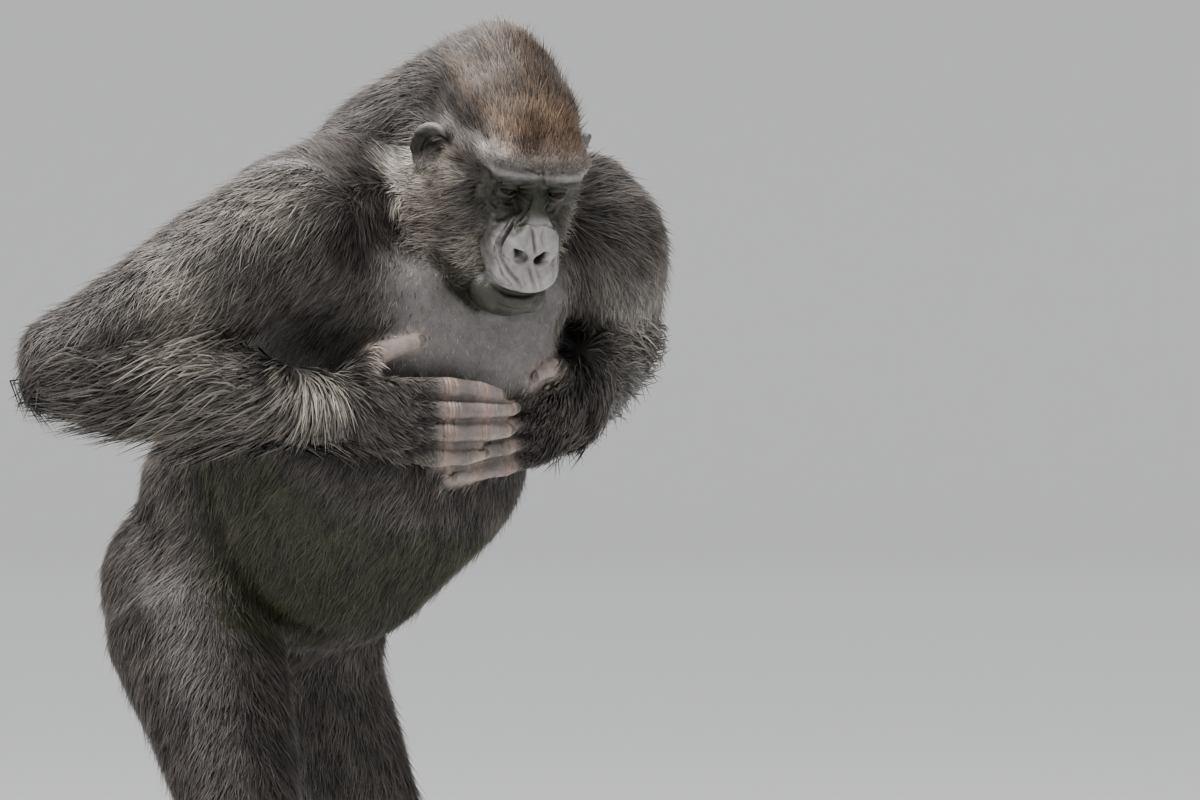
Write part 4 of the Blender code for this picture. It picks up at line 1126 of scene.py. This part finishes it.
def unwrap_of(obj):
    """A coarse copy of the skin with its own unwrap, to find where a place on the skin lies on the map."""
    copy = linked("unwrap", obj.data.copy())
    thin(copy, UNWRAP_TRIANGLES)
    bpy.ops.object.mode_set(mode="EDIT")
    bpy.ops.mesh.select_all(action="SELECT")
    bpy.ops.uv.smart_project(angle_limit=math.radians(66), island_margin=0.004)
    bpy.ops.object.mode_set(mode="OBJECT")
    mesh = copy.data
    mesh.calc_loop_triangles()
    corners = rows_of(mesh.loop_triangles, "loops", 3, np.int32)
    verts = rows_of(mesh.loop_triangles, "vertices", 3, np.int32)
    co = rows_of(mesh.vertices, "co", 3).astype(float)
    uv = rows_of(mesh.uv_layers.active.data, "uv", 2).astype(float)
    bpy.data.objects.remove(copy)
    return co[verts], uv[corners], BVHTree.FromPolygons(co.tolist(), verts.tolist())


def on_map(unwrap, co):
    """Where places on the skin lie on the unwrap, by their shares of the nearest face's corners."""
    corners, uv, tree = unwrap
    hits = [tree.find_nearest(p) for p in co.tolist()]
    face = np.array([h[2] for h in hits])
    spot = np.array([h[0] for h in hits])
    a, b, c = (corners[face, i] for i in range(3))
    ab, ac, ap = b - a, c - a, spot - a
    d00, d01, d11 = (ab * ab).sum(1), (ab * ac).sum(1), (ac * ac).sum(1)
    d20, d21 = (ap * ab).sum(1), (ap * ac).sum(1)
    base = np.maximum(d00 * d11 - d01 * d01, 1e-20)
    v, w = (d11 * d20 - d01 * d21) / base, (d00 * d21 - d01 * d20) / base
    share = np.clip(np.column_stack((1 - v - w, v, w)), 0, 1)[:, :, None]
    return (uv[face] * share).sum(1)


# ---------------------------------------------------------------- looks
COAT_BASE = (0.0305, 0.0268, 0.0245, 1)
COAT_BROWN = (0.05, 0.033, 0.0215, 1)
# Pale coat: its own colour on the ruff, cheeks and chest, painted sheen on the shoulders and arms
COAT_PALE_AND_SHEEN = (0.21, 0.19, 0.165, 1)
SKIN_BASE = (0.0195, 0.0165, 0.0148, 1)
# Pale skin: its own colour on the fingers, cheeks and chest, painted sheen on the brow, nose and upper lip
SKIN_PALE_AND_SHEEN = (0.18, 0.169, 0.167, 1)
SKIN_TAN = (0.2, 0.125, 0.09, 1)
# Dark olive, mostly painted shade: round and between the eyes, on the chin, in the nostrils, the ears' bowls
# and the flank's fold; on the belly partly its own colour, partly painted shade
OLIVE_AND_SHADE = (0.016, 0.016, 0.009, 1)
NAIL = (0.075, 0.063, 0.055, 1)
FLOOR = (0.72, 0.72, 0.71, 1)
SKY, SKY_STRENGTH = (0.97, 0.98, 1.0, 1), 0.85
# What the coat's colour is multiplied by: the shades of the tufts, the rise to the tip as painted light, the
# root as painted shade
COAT_DARKEST, COAT_LIGHTEST, PAINTED_TIP_LIGHT, PAINTED_ROOT_SHADE = 0.12, 3.5, 1.3, 0.3
# From the middle of the pupil outwards: the angle in radians, the colour
EYE_RINGS = (
    (0.18, (0.001, 0.001, 0.001, 1)),
    (0.22, (0.02, 0.0105, 0.004, 1)),
    (0.44, (0.011, 0.006, 0.003, 1)),
    (0.5, (0.003, 0.002, 0.002, 1)),
    (0.62, (0.006, 0.0045, 0.004, 1)),
)


def node(tree, kind, inputs=(), **settings):
    """A new node with its settings, its inputs fed."""
    made = tree.nodes.new(kind)
    for name, value in settings.items():
        setattr(made, name, value)
    feed(tree, made, dict(inputs))
    return made


def feed(tree, made, inputs):
    """Gives each named input its value, or links it to the socket that feeds it."""
    for name, value in inputs.items():
        if isinstance(value, bpy.types.NodeSocket):
            tree.links.new(value, made.inputs[name])
        else:
            made.inputs[name].default_value = value


def marks_group():
    """The animal's markings, with the sheen and shade painted among them, for skin and coat alike: a colour
    from the marks stored on the mesh.
    """
    group = bpy.data.node_groups.new("gorilla marks", "ShaderNodeTree")
    for name in ("Base", "Brown", "Pale", "Olive"):
        group.interface.new_socket(name, in_out="INPUT", socket_type="NodeSocketColor")
    group.interface.new_socket("Color", in_out="OUTPUT", socket_type="NodeSocketColor")
    given = node(group, "NodeGroupInput")
    marks = node(group, "ShaderNodeAttribute", attribute_name="marks")
    parts = node(group, "ShaderNodeSeparateColor", {"Color": marks.outputs["Color"]})
    last = given.outputs["Base"]
    for channel, name in (("Red", "Pale"), ("Green", "Brown"), ("Blue", "Olive")):
        inputs = {"Factor": parts.outputs[channel], "A": last, "B": given.outputs[name]}
        last = node(group, "ShaderNodeMix", inputs, data_type="RGBA").outputs["Result"]
    node(group, "NodeGroupOutput", {"Color": last})
    return group


def plain_material(name):
    material = bpy.data.materials.new(name)
    material.use_nodes = True
    return material, material.node_tree, material.node_tree.nodes["Principled BSDF"]


def shaded(tree, colour, factor):
    """A colour made lighter or darker by a factor."""
    inputs = {0: colour.outputs["Color"], "Scale": factor}
    return node(tree, "ShaderNodeVectorMath", inputs, operation="SCALE").outputs["Vector"]


def coat_material(marks, base, brown, pale):
    """Each tuft has its own shade, and grows lighter from root to tip: painted shade at the roots, painted
    light on the tips.
    """
    material, tree, bsdf = plain_material("coat")
    colours = {"Base": base, "Brown": brown, "Pale": pale, "Olive": OLIVE_AND_SHADE}
    colour = node(tree, "ShaderNodeGroup", colours, node_tree=marks)
    tuft = node(tree, "ShaderNodeAttribute", attribute_name="tuft")
    parts = node(tree, "ShaderNodeSeparateColor", {"Color": tuft.outputs["Color"]})
    inputs = {"To Min": COAT_DARKEST, "To Max": COAT_LIGHTEST, "Value": parts.outputs["Green"]}
    shade = node(tree, "ShaderNodeMapRange", inputs)
    # Painted shade at the root of each tuft, rising to painted light at its tip
    inputs = {0: parts.outputs["Red"], 1: PAINTED_TIP_LIGHT, 2: PAINTED_ROOT_SHADE}
    root_shade_to_tip_light = node(tree, "ShaderNodeMath", inputs, operation="MULTIPLY_ADD")
    inputs = {0: shade.outputs["Result"], 1: root_shade_to_tip_light.outputs["Value"]}
    both = node(tree, "ShaderNodeMath", inputs, operation="MULTIPLY")
    feed(tree, bsdf, {
        "Base Color": shaded(tree, colour, both.outputs["Value"]),
        "Roughness": 0.55,
        "Specular IOR Level": 0.3,
        "Sheen Weight": 0.06,
        "Sheen Roughness": 0.4,
    })
    return material


def skin_material(marks, base, tan, pale):
    """Leathery skin: pores, wrinkles, and painted shade that follows the wrinkles, darker where they sink and
    lighter where they rise.
    """
    material, tree, bsdf = plain_material("skin")
    colours = {"Base": base, "Brown": tan, "Pale": pale, "Olive": OLIVE_AND_SHADE}
    colour = node(tree, "ShaderNodeGroup", colours, node_tree=marks)
    where = node(tree, "ShaderNodeTexCoord").outputs["Object"]
    pores = node(tree, "ShaderNodeTexVoronoi", {"Scale": 330.0, "Vector": where}, feature="DISTANCE_TO_EDGE")
    wrinkles = node(tree, "ShaderNodeTexNoise", {"Scale": 90.0, "Detail": 5.0, "Vector": where})
    inputs = {"Strength": 0.55, "Distance": 0.001, "Height": pores.outputs["Distance"]}
    fine = node(tree, "ShaderNodeBump", inputs)
    inputs = {"Strength": 0.5, "Distance": 0.004, "Height": wrinkles.outputs["Fac"]}
    broad = node(tree, "ShaderNodeBump", {**inputs, "Normal": fine.outputs["Normal"]})
    # Painted shade of the wrinkles: the colour darker where the bump sinks, lighter where it rises
    inputs = {"From Min": 0.35, "From Max": 0.65, "To Min": 0.85, "To Max": 1.15}
    painted_wrinkle_shade = node(tree, "ShaderNodeMapRange", {**inputs, "Value": wrinkles.outputs["Fac"]})
    feed(tree, bsdf, {
        "Base Color": shaded(tree, colour, painted_wrinkle_shade.outputs["Result"]),
        "Roughness": 0.56,
        "Normal": broad.outputs["Normal"],
    })
    return material


def eye_material():
    """A black pupil, an amber iris with a dark edge, and a brown white round it."""
    material, tree, bsdf = plain_material("eye")
    away = node(tree, "ShaderNodeAttribute", attribute_name="iris")
    ramp = node(tree, "ShaderNodeValToRGB", {"Fac": away.outputs["Fac"]})
    elements = ramp.color_ramp.elements
    for element, (position, colour) in zip(elements, EYE_RINGS):
        element.position, element.color = position, colour
    for position, colour in EYE_RINGS[len(elements):]:
        elements.new(position).color = colour
    inputs = {"Base Color": ramp.outputs["Color"], "Roughness": 0.06, "Specular IOR Level": 0.12}
    feed(tree, bsdf, inputs)
    return material


def nail_material():
    material, tree, bsdf = plain_material("nail")
    feed(tree, bsdf, {"Base Color": NAIL, "Roughness": 0.38})
    return material


# ---------------------------------------------------------------- eyes and nails
NAIL_ARCH = 0.42  # how high a nail's plate arches, against its width


def make_eyes():
    """Both eyeballs in one mesh, turned to look down past the hands."""
    parts = []
    for side in (-1, 1):
        gaze = P(-side * math.sin(GAZE_IN), math.cos(GAZE_IN) * math.cos(GAZE_UP), math.sin(GAZE_UP))
        bpy.ops.mesh.primitive_uv_sphere_add(segments=64, ring_count=40, radius=EYE_R * CM)
        obj = bpy.context.object
        co = rows_of(obj.data.vertices, "co", 3).astype(float)
        away = np.arccos(np.clip(unit(co) @ np.array(gaze), -1, 1))
        iris = obj.data.attributes.new("iris", "FLOAT", "POINT")
        iris.data.foreach_set("value", away.astype(np.float32))
        place = HEAD @ P(side * EYE_AT[0], EYE_AT[1], EYE_AT[2])
        obj.data.transform(Matrix.Translation(place * CM) @ HEAD.to_3x3().to_4x4())
        obj.data.shade_smooth()
        parts.append(obj)
    return joined(parts, "eyes")


def joined(parts, name):
    bpy.ops.object.select_all(action="DESELECT")
    for obj in parts:
        obj.select_set(True)
    bpy.context.view_layer.objects.active = parts[0]
    bpy.ops.object.join()
    obj = bpy.context.object
    obj.name = obj.data.name = name
    bpy.ops.object.select_all(action="DESELECT")
    return obj


def nail(place, across, ahead, above, wide, long):
    """A curved plate: a flattened ball, sunk in the skin under its cap."""
    bpy.ops.mesh.primitive_uv_sphere_add(segments=24, ring_count=16, radius=1.0)
    obj = bpy.context.object
    turned = Matrix((across, ahead, above)).transposed().to_4x4()
    scale = Matrix.Diagonal((wide, long, wide * NAIL_ARCH, 1.0))
    obj.data.transform(Matrix.Scale(CM, 4) @ Matrix.Translation(place) @ turned @ scale)
    if turned.determinant() < 0:
        obj.data.flip_normals()
    obj.data.shade_smooth()
    return obj


def make_nails():
    """A nail on the tip of each finger, thumb and toe."""
    parts = []
    for word, side in SIDES.items():
        where = hand_frame(word)
        radial, reach, out = (where.to_3x3() @ P(*v) for v in ((1, 0, 0), (0, 1, 0), (0, 0, 1)))
        tips = [(tip, second, r * FINGERTIP) for _, _, second, tip, r in FINGERS[word]]
        tips.append((THUMB[word][-1][0], THUMB[word][-2][0], THUMB[word][-1][1]))
        for (s, t, n), (s0, t0, n0), r in tips:
            ahead = (radial * (t - t0) + reach * (s - s0) + out * (n - n0)).normalized()
            above = (out - ahead * out.dot(ahead)).normalized()
            place = where @ P(t, s, n) + above * r * 0.66 + ahead * r * 0.22
            parts.append(nail(place, ahead.cross(above), ahead, above, r * 0.66, r * 0.74))
        stand = foot_frame(word)
        for row in toes(side):
            (joint, _), (tip, r) = row[1], row[2]
            ahead = (stand.to_3x3() @ (P(*tip) - P(*joint))).normalized()
            above = (Vector((0, 0, 1)) - ahead * ahead.z).normalized()
            place = stand @ P(*tip) + above * r[2] * 0.72 + ahead * r[1] * 0.5
            parts.append(nail(place, ahead.cross(above), ahead, above, r[0] * 0.68, r[0] * 0.72))
    return joined(parts, "nails")


# ---------------------------------------------------------------- coat
PIECES = {"coat_" + name: (name,) for name in ("head", "neck", "chest", "abdomen", "pelvis")}
for parts in (("thigh",), ("shin", "foot"), ("upper_arm",), ("forearm", "hand")):
    for word in SIDES:
        PIECES[f"coat_{parts[0]}_{word}"] = tuple(f"{part}_{word}" for part in parts)
TUFT_PATCH = 0.003  # the size of each tuft's place on the map
TUFT_TRIANGLES = {1: 4, 2: 10}  # by the number of rings before the tip
GUARD_HAIRS = 0.07  # the share of tufts that are longer and stand off the rest
GUARD_LONGER, GUARD_HIGHER = 0.5, 1.2  # by how much more than the others
ROOT_DEPTH = 0.001  # how far under the skin a tuft begins, in metres
# Half a tuft's width in metres: at this length, by how much it grows with the length, its limits
USUAL_WIDTH, USUAL_LENGTH, WIDTH_GAIN = 0.00055, 0.008, 0.02
NARROWEST, WIDEST = 0.0005, 0.0013
SAG, SAG_LENGTH = 0.006, 0.06  # how far the tip of a tuft that long hangs down, in metres
SHADE, SHADE_SPREAD = 0.42, 0.2  # the tufts' middle shade and how much it differs between them
CLUMP, STRAND, STREAK = 0.035, 0.012, 0.009  # sizes of the swirls, strands and streaks of shade, in metres
LOWEST_TIP = 0.002  # so that no tuft goes through the floor, in metres


class Ground:
    """The skin under the coat: its faces, their areas and normals, and the lie of the coat on them."""

    def __init__(self, skin, plan):
        net = Net(skin.data)
        skin.data.calc_loop_triangles()
        self.net, self.tris = net, rows_of(skin.data.loop_triangles, "vertices", 3, np.int32)
        a, b, c = (net.co[self.tris[:, i]] for i in range(3))
        self.area = np.linalg.norm(np.cross(b - a, c - a), axis=1) / 2 / CM**2
        self.tree = BVHTree.FromPolygons(net.co.tolist(), self.tris.tolist())
        self.normal = unit(net.normal[self.tris].mean(1))
        self.lie = unit(plan.lie[self.tris].mean(1))


def sample_roots(ground, names, plan, most, thick, rng):
    """Places on the faces of those regions, spread evenly by the density that the plan gives."""
    tris = ground.tris
    inside = np.isin(plan.region[tris], names).sum(1) >= 2
    weight = ground.area * plan.density[tris].mean(1) * inside * thick
    total = int(min(weight.sum(), most))
    edges = np.cumsum(weight) / weight.sum() * total
    picks = np.arange(total) + rng.random(total)
    face = np.minimum(np.searchsorted(edges, picks), len(tris) - 1)
    u, v = rng.random(total), rng.random(total)
    over = u + v > 1
    u[over], v[over] = 1 - u[over], 1 - v[over]
    return face, np.column_stack((1 - u - v, u, v))


def comb(ground, root, normal, course, length, height, stray, steps):
    """The places along each tuft: just under its root, then over the skin along the lie, the last its tip."""
    places, spot = [root - normal * ROOT_DEPTH], root
    for step in range(1, steps + 1):
        guess = spot + course * (length / steps)[:, None]
        hits = [ground.tree.find_nearest(p) for p in guess.tolist()]
        spot, face = np.array([h[0] for h in hits]), np.array([h[2] for h in hits])
        top, follow = ground.normal[face], ground.lie[face]
        rise = height * (0.75 if step < steps else 1.0)
        places.append(spot + top * rise[:, None])
        side = unit(np.cross(follow, top))
        course = unit(unit(follow + course * 0.6) + side * (0.4 * stray)[:, None])
    sag = (length / SAG_LENGTH) ** 2 * SAG
    places[-1][:, 2] = np.maximum(places[-1][:, 2] - sag, LOWEST_TIP)
    return places


def tuft_pattern(steps):
    """The faces of one tuft, and how far round it and along it each of their corners lies, 0 to 1."""
    faces, across, forward = [(2, 1, 0)], [(2, 1, 0)], [(0, 0, 0)]
    for j in range(steps):
        for i in range(3):
            k = (i + 1) % 3
            if j < steps - 1:
                faces.append((3 * j + i, 3 * j + k, 3 * j + 3 + k, 3 * j + 3 + i))
                across.append((i, i + 1, i + 1, i))
                forward.append((j, j, j + 1, j + 1))
            else:
                faces.append((3 * j + i, 3 * j + k, 3 * steps))
                across.append((i, i + 1, i + 0.5))
                forward.append((j, j, steps))
    return faces, np.column_stack((np.concatenate(across) / 3, np.concatenate(forward) / steps))


def mesh_of_copies(name, co, faces):
    """One mesh of many alike: co holds the places of each copy, faces the corners of every face of one."""
    count, per = co.shape[:2]
    corner = np.concatenate(faces)
    loops = (corner[None] + (np.arange(count) * per)[:, None]).ravel()
    totals = np.tile([len(f) for f in faces], count)
    starts = np.concatenate(([0], np.cumsum(totals)[:-1]))
    mesh = bpy.data.meshes.new(name)
    mesh.vertices.add(count * per)
    mesh.vertices.foreach_set("co", co.astype(np.float32).ravel())
    mesh.loops.add(len(loops))
    mesh.loops.foreach_set("vertex_index", loops.astype(np.int32))
    mesh.polygons.add(len(totals))
    mesh.polygons.foreach_set("loop_start", starts.astype(np.int32))
    mesh.update(calc_edges=True)
    return mesh


def tufts(name, rings, widths, side, top, body, uv, marks, tones):
    """One mesh of closed, three-sided tufts. rings holds the places along each, its last one the tip.

    body is the way the skin faces under each tuft: the light falls on the coat mostly as on the body.
    """
    steps, count = len(rings) - 1, len(rings[0])
    per = 3 * steps + 1
    co = np.empty((count, per, 3))
    for j in range(steps):
        w = widths[j][:, None]
        co[:, 3 * j] = rings[j] + side * w - top * w * 0.25
        co[:, 3 * j + 1] = rings[j] - side * w - top * w * 0.25
        co[:, 3 * j + 2] = rings[j] + top * w * 0.5
    co[:, -1] = rings[-1]
    soft = np.empty_like(co)
    soft[:, 0:-1:3] = (body + side)[:, None]
    soft[:, 1:-1:3] = (body - side)[:, None]
    soft[:, 2:-1:3] = soft[:, -1:] = (body + top)[:, None]
    faces, pattern = tuft_pattern(steps)
    mesh = mesh_of_copies(name, co, faces)
    spots = uv[:, None] + (pattern - 0.5)[None] * TUFT_PATCH
    layer = mesh.uv_layers.new(name="OFBake")
    layer.data.foreach_set("uv", spots.astype(np.float32).ravel())
    mark(mesh, "marks", np.repeat(marks, per, axis=0))
    run = np.append(np.repeat(np.arange(steps) / steps, 3), 1.0)
    mark(mesh, "tuft", np.column_stack((np.tile(run, count), np.repeat(tones, per), np.zeros(count * per))))
    mesh.shade_smooth()
    mesh.normals_split_custom_set_from_vertices(unit(soft.reshape(-1, 3)).tolist())
    return linked(name, mesh)


def coat_piece(ground, plan, unwrap, name, names, thick, seed, rng):
    """One piece of the coat, over some of the regions."""
    steps = 2 if name.split("_")[1] in CURVED else 1
    most = MOST_TRIANGLES // TUFT_TRIANGLES[steps]
    face, share = sample_roots(ground, names, plan, most, thick, rng)
    count = len(face)
    if not count:
        raise ValueError(f"{name} has no tufts")

    def at_root(values):
        picked = values[ground.tris[face]]
        return (picked * (share if values.ndim == 1 else share[:, :, None])).sum(1)

    root, normal, lie = at_root(ground.net.co), unit(at_root(ground.net.normal)), unit(at_root(plan.lie))
    length = at_root(plan.length) * rng.uniform(0.7, 1.25, count) * CM
    height = (at_root(plan.depth) * rng.uniform(0.25, 1.05, count) + 0.08) * CM
    guard = rng.random(count) < GUARD_HAIRS
    length *= 1 + GUARD_LONGER * guard
    height *= 1 + GUARD_HIGHER * guard
    clump = noise_at(root / CLUMP, seed)
    stray = rng.normal(0, 0.2, count) + 0.3 * clump + 0.22 * noise_at(root / STRAND, seed + 1)
    course = unit(lie + unit(np.cross(lie, normal)) * stray[:, None])
    places = comb(ground, root, normal, course, length, height, stray, steps)
    wide = np.clip(USUAL_WIDTH + WIDTH_GAIN * (length - USUAL_LENGTH), NARROWEST, WIDEST)
    wide *= rng.uniform(0.75, 1.25, count)
    widths = [wide * 0.8, wide] if steps == 2 else [wide]
    run = unit(places[-1] - places[0])
    top = unit(np.cross(unit(np.cross(run, normal)), run))
    streak = 0.14 * clump + 0.16 * noise_at(root / STREAK, seed)
    tone = np.clip(SHADE + SHADE_SPREAD * rng.standard_normal(count) + streak, 0, 1)
    uv = on_map(unwrap, root)
    return tufts(name, places, widths, np.cross(run, top), top, normal, uv, at_root(plan.marks), tone)


def make_coat(skin, plan, thick, seed):
    ground, unwrap = Ground(skin, plan), unwrap_of(skin)
    pieces = []
    for index, (name, names) in enumerate(PIECES.items()):
        rng = np.random.default_rng(seed + index)
        pieces.append(coat_piece(ground, plan, unwrap, name, names, thick, seed, rng))
    return pieces


def noise_at(p, seed):
    """Smooth values from about -1 to 1 over space."""
    rng = np.random.default_rng(seed + 99)
    total = np.zeros(len(p))
    for _ in range(6):
        wave = rng.normal(0, 1.6, 3)
        total += np.sin(p @ wave + rng.uniform(0, 6.3))
    return total / 3.5


# ---------------------------------------------------------------- stage
CAMERA_SIDE = math.radians(-52)
CAMERA_AWAY = 12.0
CAMERA_AIM = (0.25, 0.42, 0.868)  # towards the camera, to its right and up from the floor under the pelvis
LENS, SENSOR = 300.0, 36.0
FLOOR_R, CURVE_R, WALL_TOP = 45.0, 12.0, 30.0
BOWL_SIDES = 96
LIGHTS_AIM = 0.9  # how high the lamps point
# Where each lamp stands (towards the camera, to its right, up), its size and its share of its power setting
LIGHTS = {
    "key": ((1.4, -1.3, 4.4), 2.4, 1.0),
    "fill": ((3.0, 3.4, 1.8), 3.0, 1.0),
    "rim": ((-2.4, 1.0, 3.2), 2.0, 0.25),
}


def bowl(name):
    """A round floor that curves up into a wall, far outside the model."""
    profile = [(0.0, 0.0), (6.0, 0.0), (FLOOR_R, 0.0)]
    for a in np.linspace(0, math.pi / 2, 17)[1:]:
        profile.append((FLOOR_R + CURVE_R * math.sin(a), CURVE_R * (1 - math.cos(a))))
    profile.append((FLOOR_R + CURVE_R, WALL_TOP))
    bm = bmesh.new()
    rings = []
    for r, z in profile:
        turns = [2 * math.pi * i / BOWL_SIDES for i in range(BOWL_SIDES)] if r else [0.0]
        rings.append([bm.verts.new((r * math.cos(a), r * math.sin(a), z)) for a in turns])
    for low, high in zip(rings, rings[1:]):
        for i in range(BOWL_SIDES):
            j = (i + 1) % BOWL_SIDES
            bm.faces.new((low[0], high[i], high[j]) if len(low) == 1 else (low[i], high[i], high[j], low[j]))
    mesh = bpy.data.meshes.new(name)
    bm.to_mesh(mesh)
    bm.free()
    mesh.shade_smooth()
    return linked(name, mesh)


def make_floor():
    floor = bowl("floor")
    material, tree, bsdf = plain_material("floor")
    feed(tree, bsdf, {"Base Color": FLOOR, "Roughness": 0.9})
    floor.data.materials.append(material)


def make_world():
    world = bpy.data.worlds.new("studio")
    world.use_nodes = True
    background = world.node_tree.nodes["Background"]
    feed(world.node_tree, background, {"Color": SKY, "Strength": SKY_STRENGTH})
    bpy.context.scene.world = world
    bpy.context.scene.view_settings.look = "AgX - Medium High Contrast"


def make_stage(key_power, fill_power):
    """Floor, daylight, three lamps and the camera."""
    make_floor()
    make_world()
    back = Vector((math.sin(CAMERA_SIDE), -math.cos(CAMERA_SIDE), 0))
    right, up = Vector((-back.y, back.x, 0)), Vector((0, 0, 1))
    middle = ORIGIN * CM
    powers = {"key": key_power, "fill": fill_power, "rim": key_power}
    for name, ((near, aside, high), size, share) in LIGHTS.items():
        light = bpy.data.lights.new(name, "AREA")
        light.energy, light.size = powers[name] * share, size
        obj = linked(name, light)
        obj.location = middle + (back * near + right * aside + up * high)
        aim = middle + up * LIGHTS_AIM - obj.location
        obj.rotation_euler = aim.to_track_quat("-Z", "Y").to_euler()
    lens = bpy.data.cameras.new("camera")
    lens.lens, lens.sensor_width = LENS, SENSOR
    camera = linked("camera", lens)
    near, aside, high = CAMERA_AIM
    camera.location = middle + right * aside + up * high + back * near + back * CAMERA_AWAY
    camera.rotation_euler = (-back).to_track_quat("-Z", "Y").to_euler()
    bpy.context.scene.camera = camera


# ---------------------------------------------------------------- operators
MADE = {}


def number_setting(name, description, default, **kind):
    return bpy.props.FloatProperty(name=name, description=description, default=default, **kind)


def colour_setting(name, description, default):
    limits = {"size": 4, "min": 0.0, "max": 1.0, "subtype": "COLOR"}
    return bpy.props.FloatVectorProperty(name=name, description=description, default=default, **limits)


class GORILLA_PG_settings(bpy.types.PropertyGroup):
    voxel: number_setting("Skin detail", "Grid size of the skin before it is refined", 0.0066, unit="LENGTH")
    thickness: number_setting("Coat thickness", "Tufts against the planned number", 1.0, subtype="FACTOR")
    seed: bpy.props.IntProperty(name="Seed", description="Start of the coat's random choices", default=7)
    coat_base: colour_setting("Coat", "Colour of most of the coat", COAT_BASE)
    coat_brown: colour_setting("Crown", "Colour of the coat on the crown", COAT_BROWN)
    # On the shoulders and arms the pale coat is painted sheen
    coat_pale: colour_setting("Pale coat", "Colour of the coat's pale patches", COAT_PALE_AND_SHEEN)
    skin_base: colour_setting("Skin", "Colour of most of the skin", SKIN_BASE)
    skin_tan: colour_setting("Joints", "Colour of the skin on the fingers' joints", SKIN_TAN)
    # On the brow, nose and upper lip this pale skin is painted sheen
    skin_pale_and_sheen: colour_setting("Pale skin", "Colour of the skin on nose and brow", SKIN_PALE_AND_SHEEN)
    key_power: number_setting("Key light", "Power of the key light", 500.0, unit="POWER")
    fill_power: number_setting("Fill light", "Power of the fill light", 50.0, unit="POWER")


class GORILLA_OT_skin(bpy.types.Operator):
    """Make the skin, with its face, that stands for all the nodes of flesh"""

    bl_idname = "gorilla.skin"
    bl_label = "Make skin"

    def execute(self, context):
        settings = context.scene.gorilla
        skin, plan = make_skin(settings.voxel)
        mark(skin.data, "marks", plan.marks)
        MADE["marks"] = marks_group()
        colours = settings.skin_base, settings.skin_tan, settings.skin_pale_and_sheen
        skin.data.materials.clear()
        skin.data.materials.append(skin_material(MADE["marks"], *colours))
        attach(skin, "root")
        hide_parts(*FLESH)
        MADE["skin"], MADE["plan"] = skin, plan
        return {"FINISHED"}


class GORILLA_OT_eyes(bpy.types.Operator):
    """Make both eyeballs"""

    bl_idname = "gorilla.eyes"
    bl_label = "Make eyes"

    def execute(self, context):
        eyes = make_eyes()
        eyes.data.materials.append(eye_material())
        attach(eyes, "root")
        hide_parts("eye_right", "eye_left")
        return {"FINISHED"}


class GORILLA_OT_nails(bpy.types.Operator):
    """Make the nails of fingers and toes"""

    bl_idname = "gorilla.nails"
    bl_label = "Make nails"

    def execute(self, context):
        nails = make_nails()
        nails.data.materials.append(nail_material())
        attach(nails, "root")
        return {"FINISHED"}


class GORILLA_OT_coat(bpy.types.Operator):
    """Grow the coat on the skin"""

    bl_idname = "gorilla.coat"
    bl_label = "Grow coat"

    def execute(self, context):
        settings = context.scene.gorilla
        colours = settings.coat_base, settings.coat_brown, settings.coat_pale
        material = coat_material(MADE["marks"], *colours)
        for piece in make_coat(MADE["skin"], MADE["plan"], settings.thickness, settings.seed):
            piece.data.materials.append(material)
            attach(piece, "root")
        thin(MADE["skin"], MOST_TRIANGLES)
        MADE["skin"].data.shade_smooth()
        return {"FINISHED"}


class GORILLA_OT_stage(bpy.types.Operator):
    """Set the floor, the lights and the camera"""

    bl_idname = "gorilla.stage"
    bl_label = "Set stage"

    def execute(self, context):
        settings = context.scene.gorilla
        make_stage(settings.key_power, settings.fill_power)
        return {"FINISHED"}


STEPS = (GORILLA_OT_skin, GORILLA_OT_eyes, GORILLA_OT_nails, GORILLA_OT_coat, GORILLA_OT_stage)


class GORILLA_PT_panel(bpy.types.Panel):
    """The gorilla's settings and steps"""

    bl_label = "Gorilla"
    bl_idname = "GORILLA_PT_panel"
    bl_space_type = "VIEW_3D"
    bl_region_type = "UI"
    bl_category = "Gorilla"

    def draw(self, context):
        for name in GORILLA_PG_settings.__annotations__:
            self.layout.prop(context.scene.gorilla, name)
        for step in STEPS:
            self.layout.operator(step.bl_idname)


CLASSES = (GORILLA_PG_settings, *STEPS, GORILLA_PT_panel)


def register():
    for cls in CLASSES:
        bpy.utils.register_class(cls)
    bpy.types.Scene.gorilla = bpy.props.PointerProperty(type=GORILLA_PG_settings)


def unregister():
    del bpy.types.Scene.gorilla
    for cls in reversed(CLASSES):
        bpy.utils.unregister_class(cls)


def run_step(step):
    group, name = step.bl_idname.split(".")
    return getattr(getattr(bpy.ops, group), name)()


def main():
    register()
    bpy.ops.object.select_all(action="DESELECT")
    for step in STEPS:
        if run_step(step) != {"FINISHED"}:
            raise RuntimeError(step.bl_label)


if __name__ == "__main__":
    main()
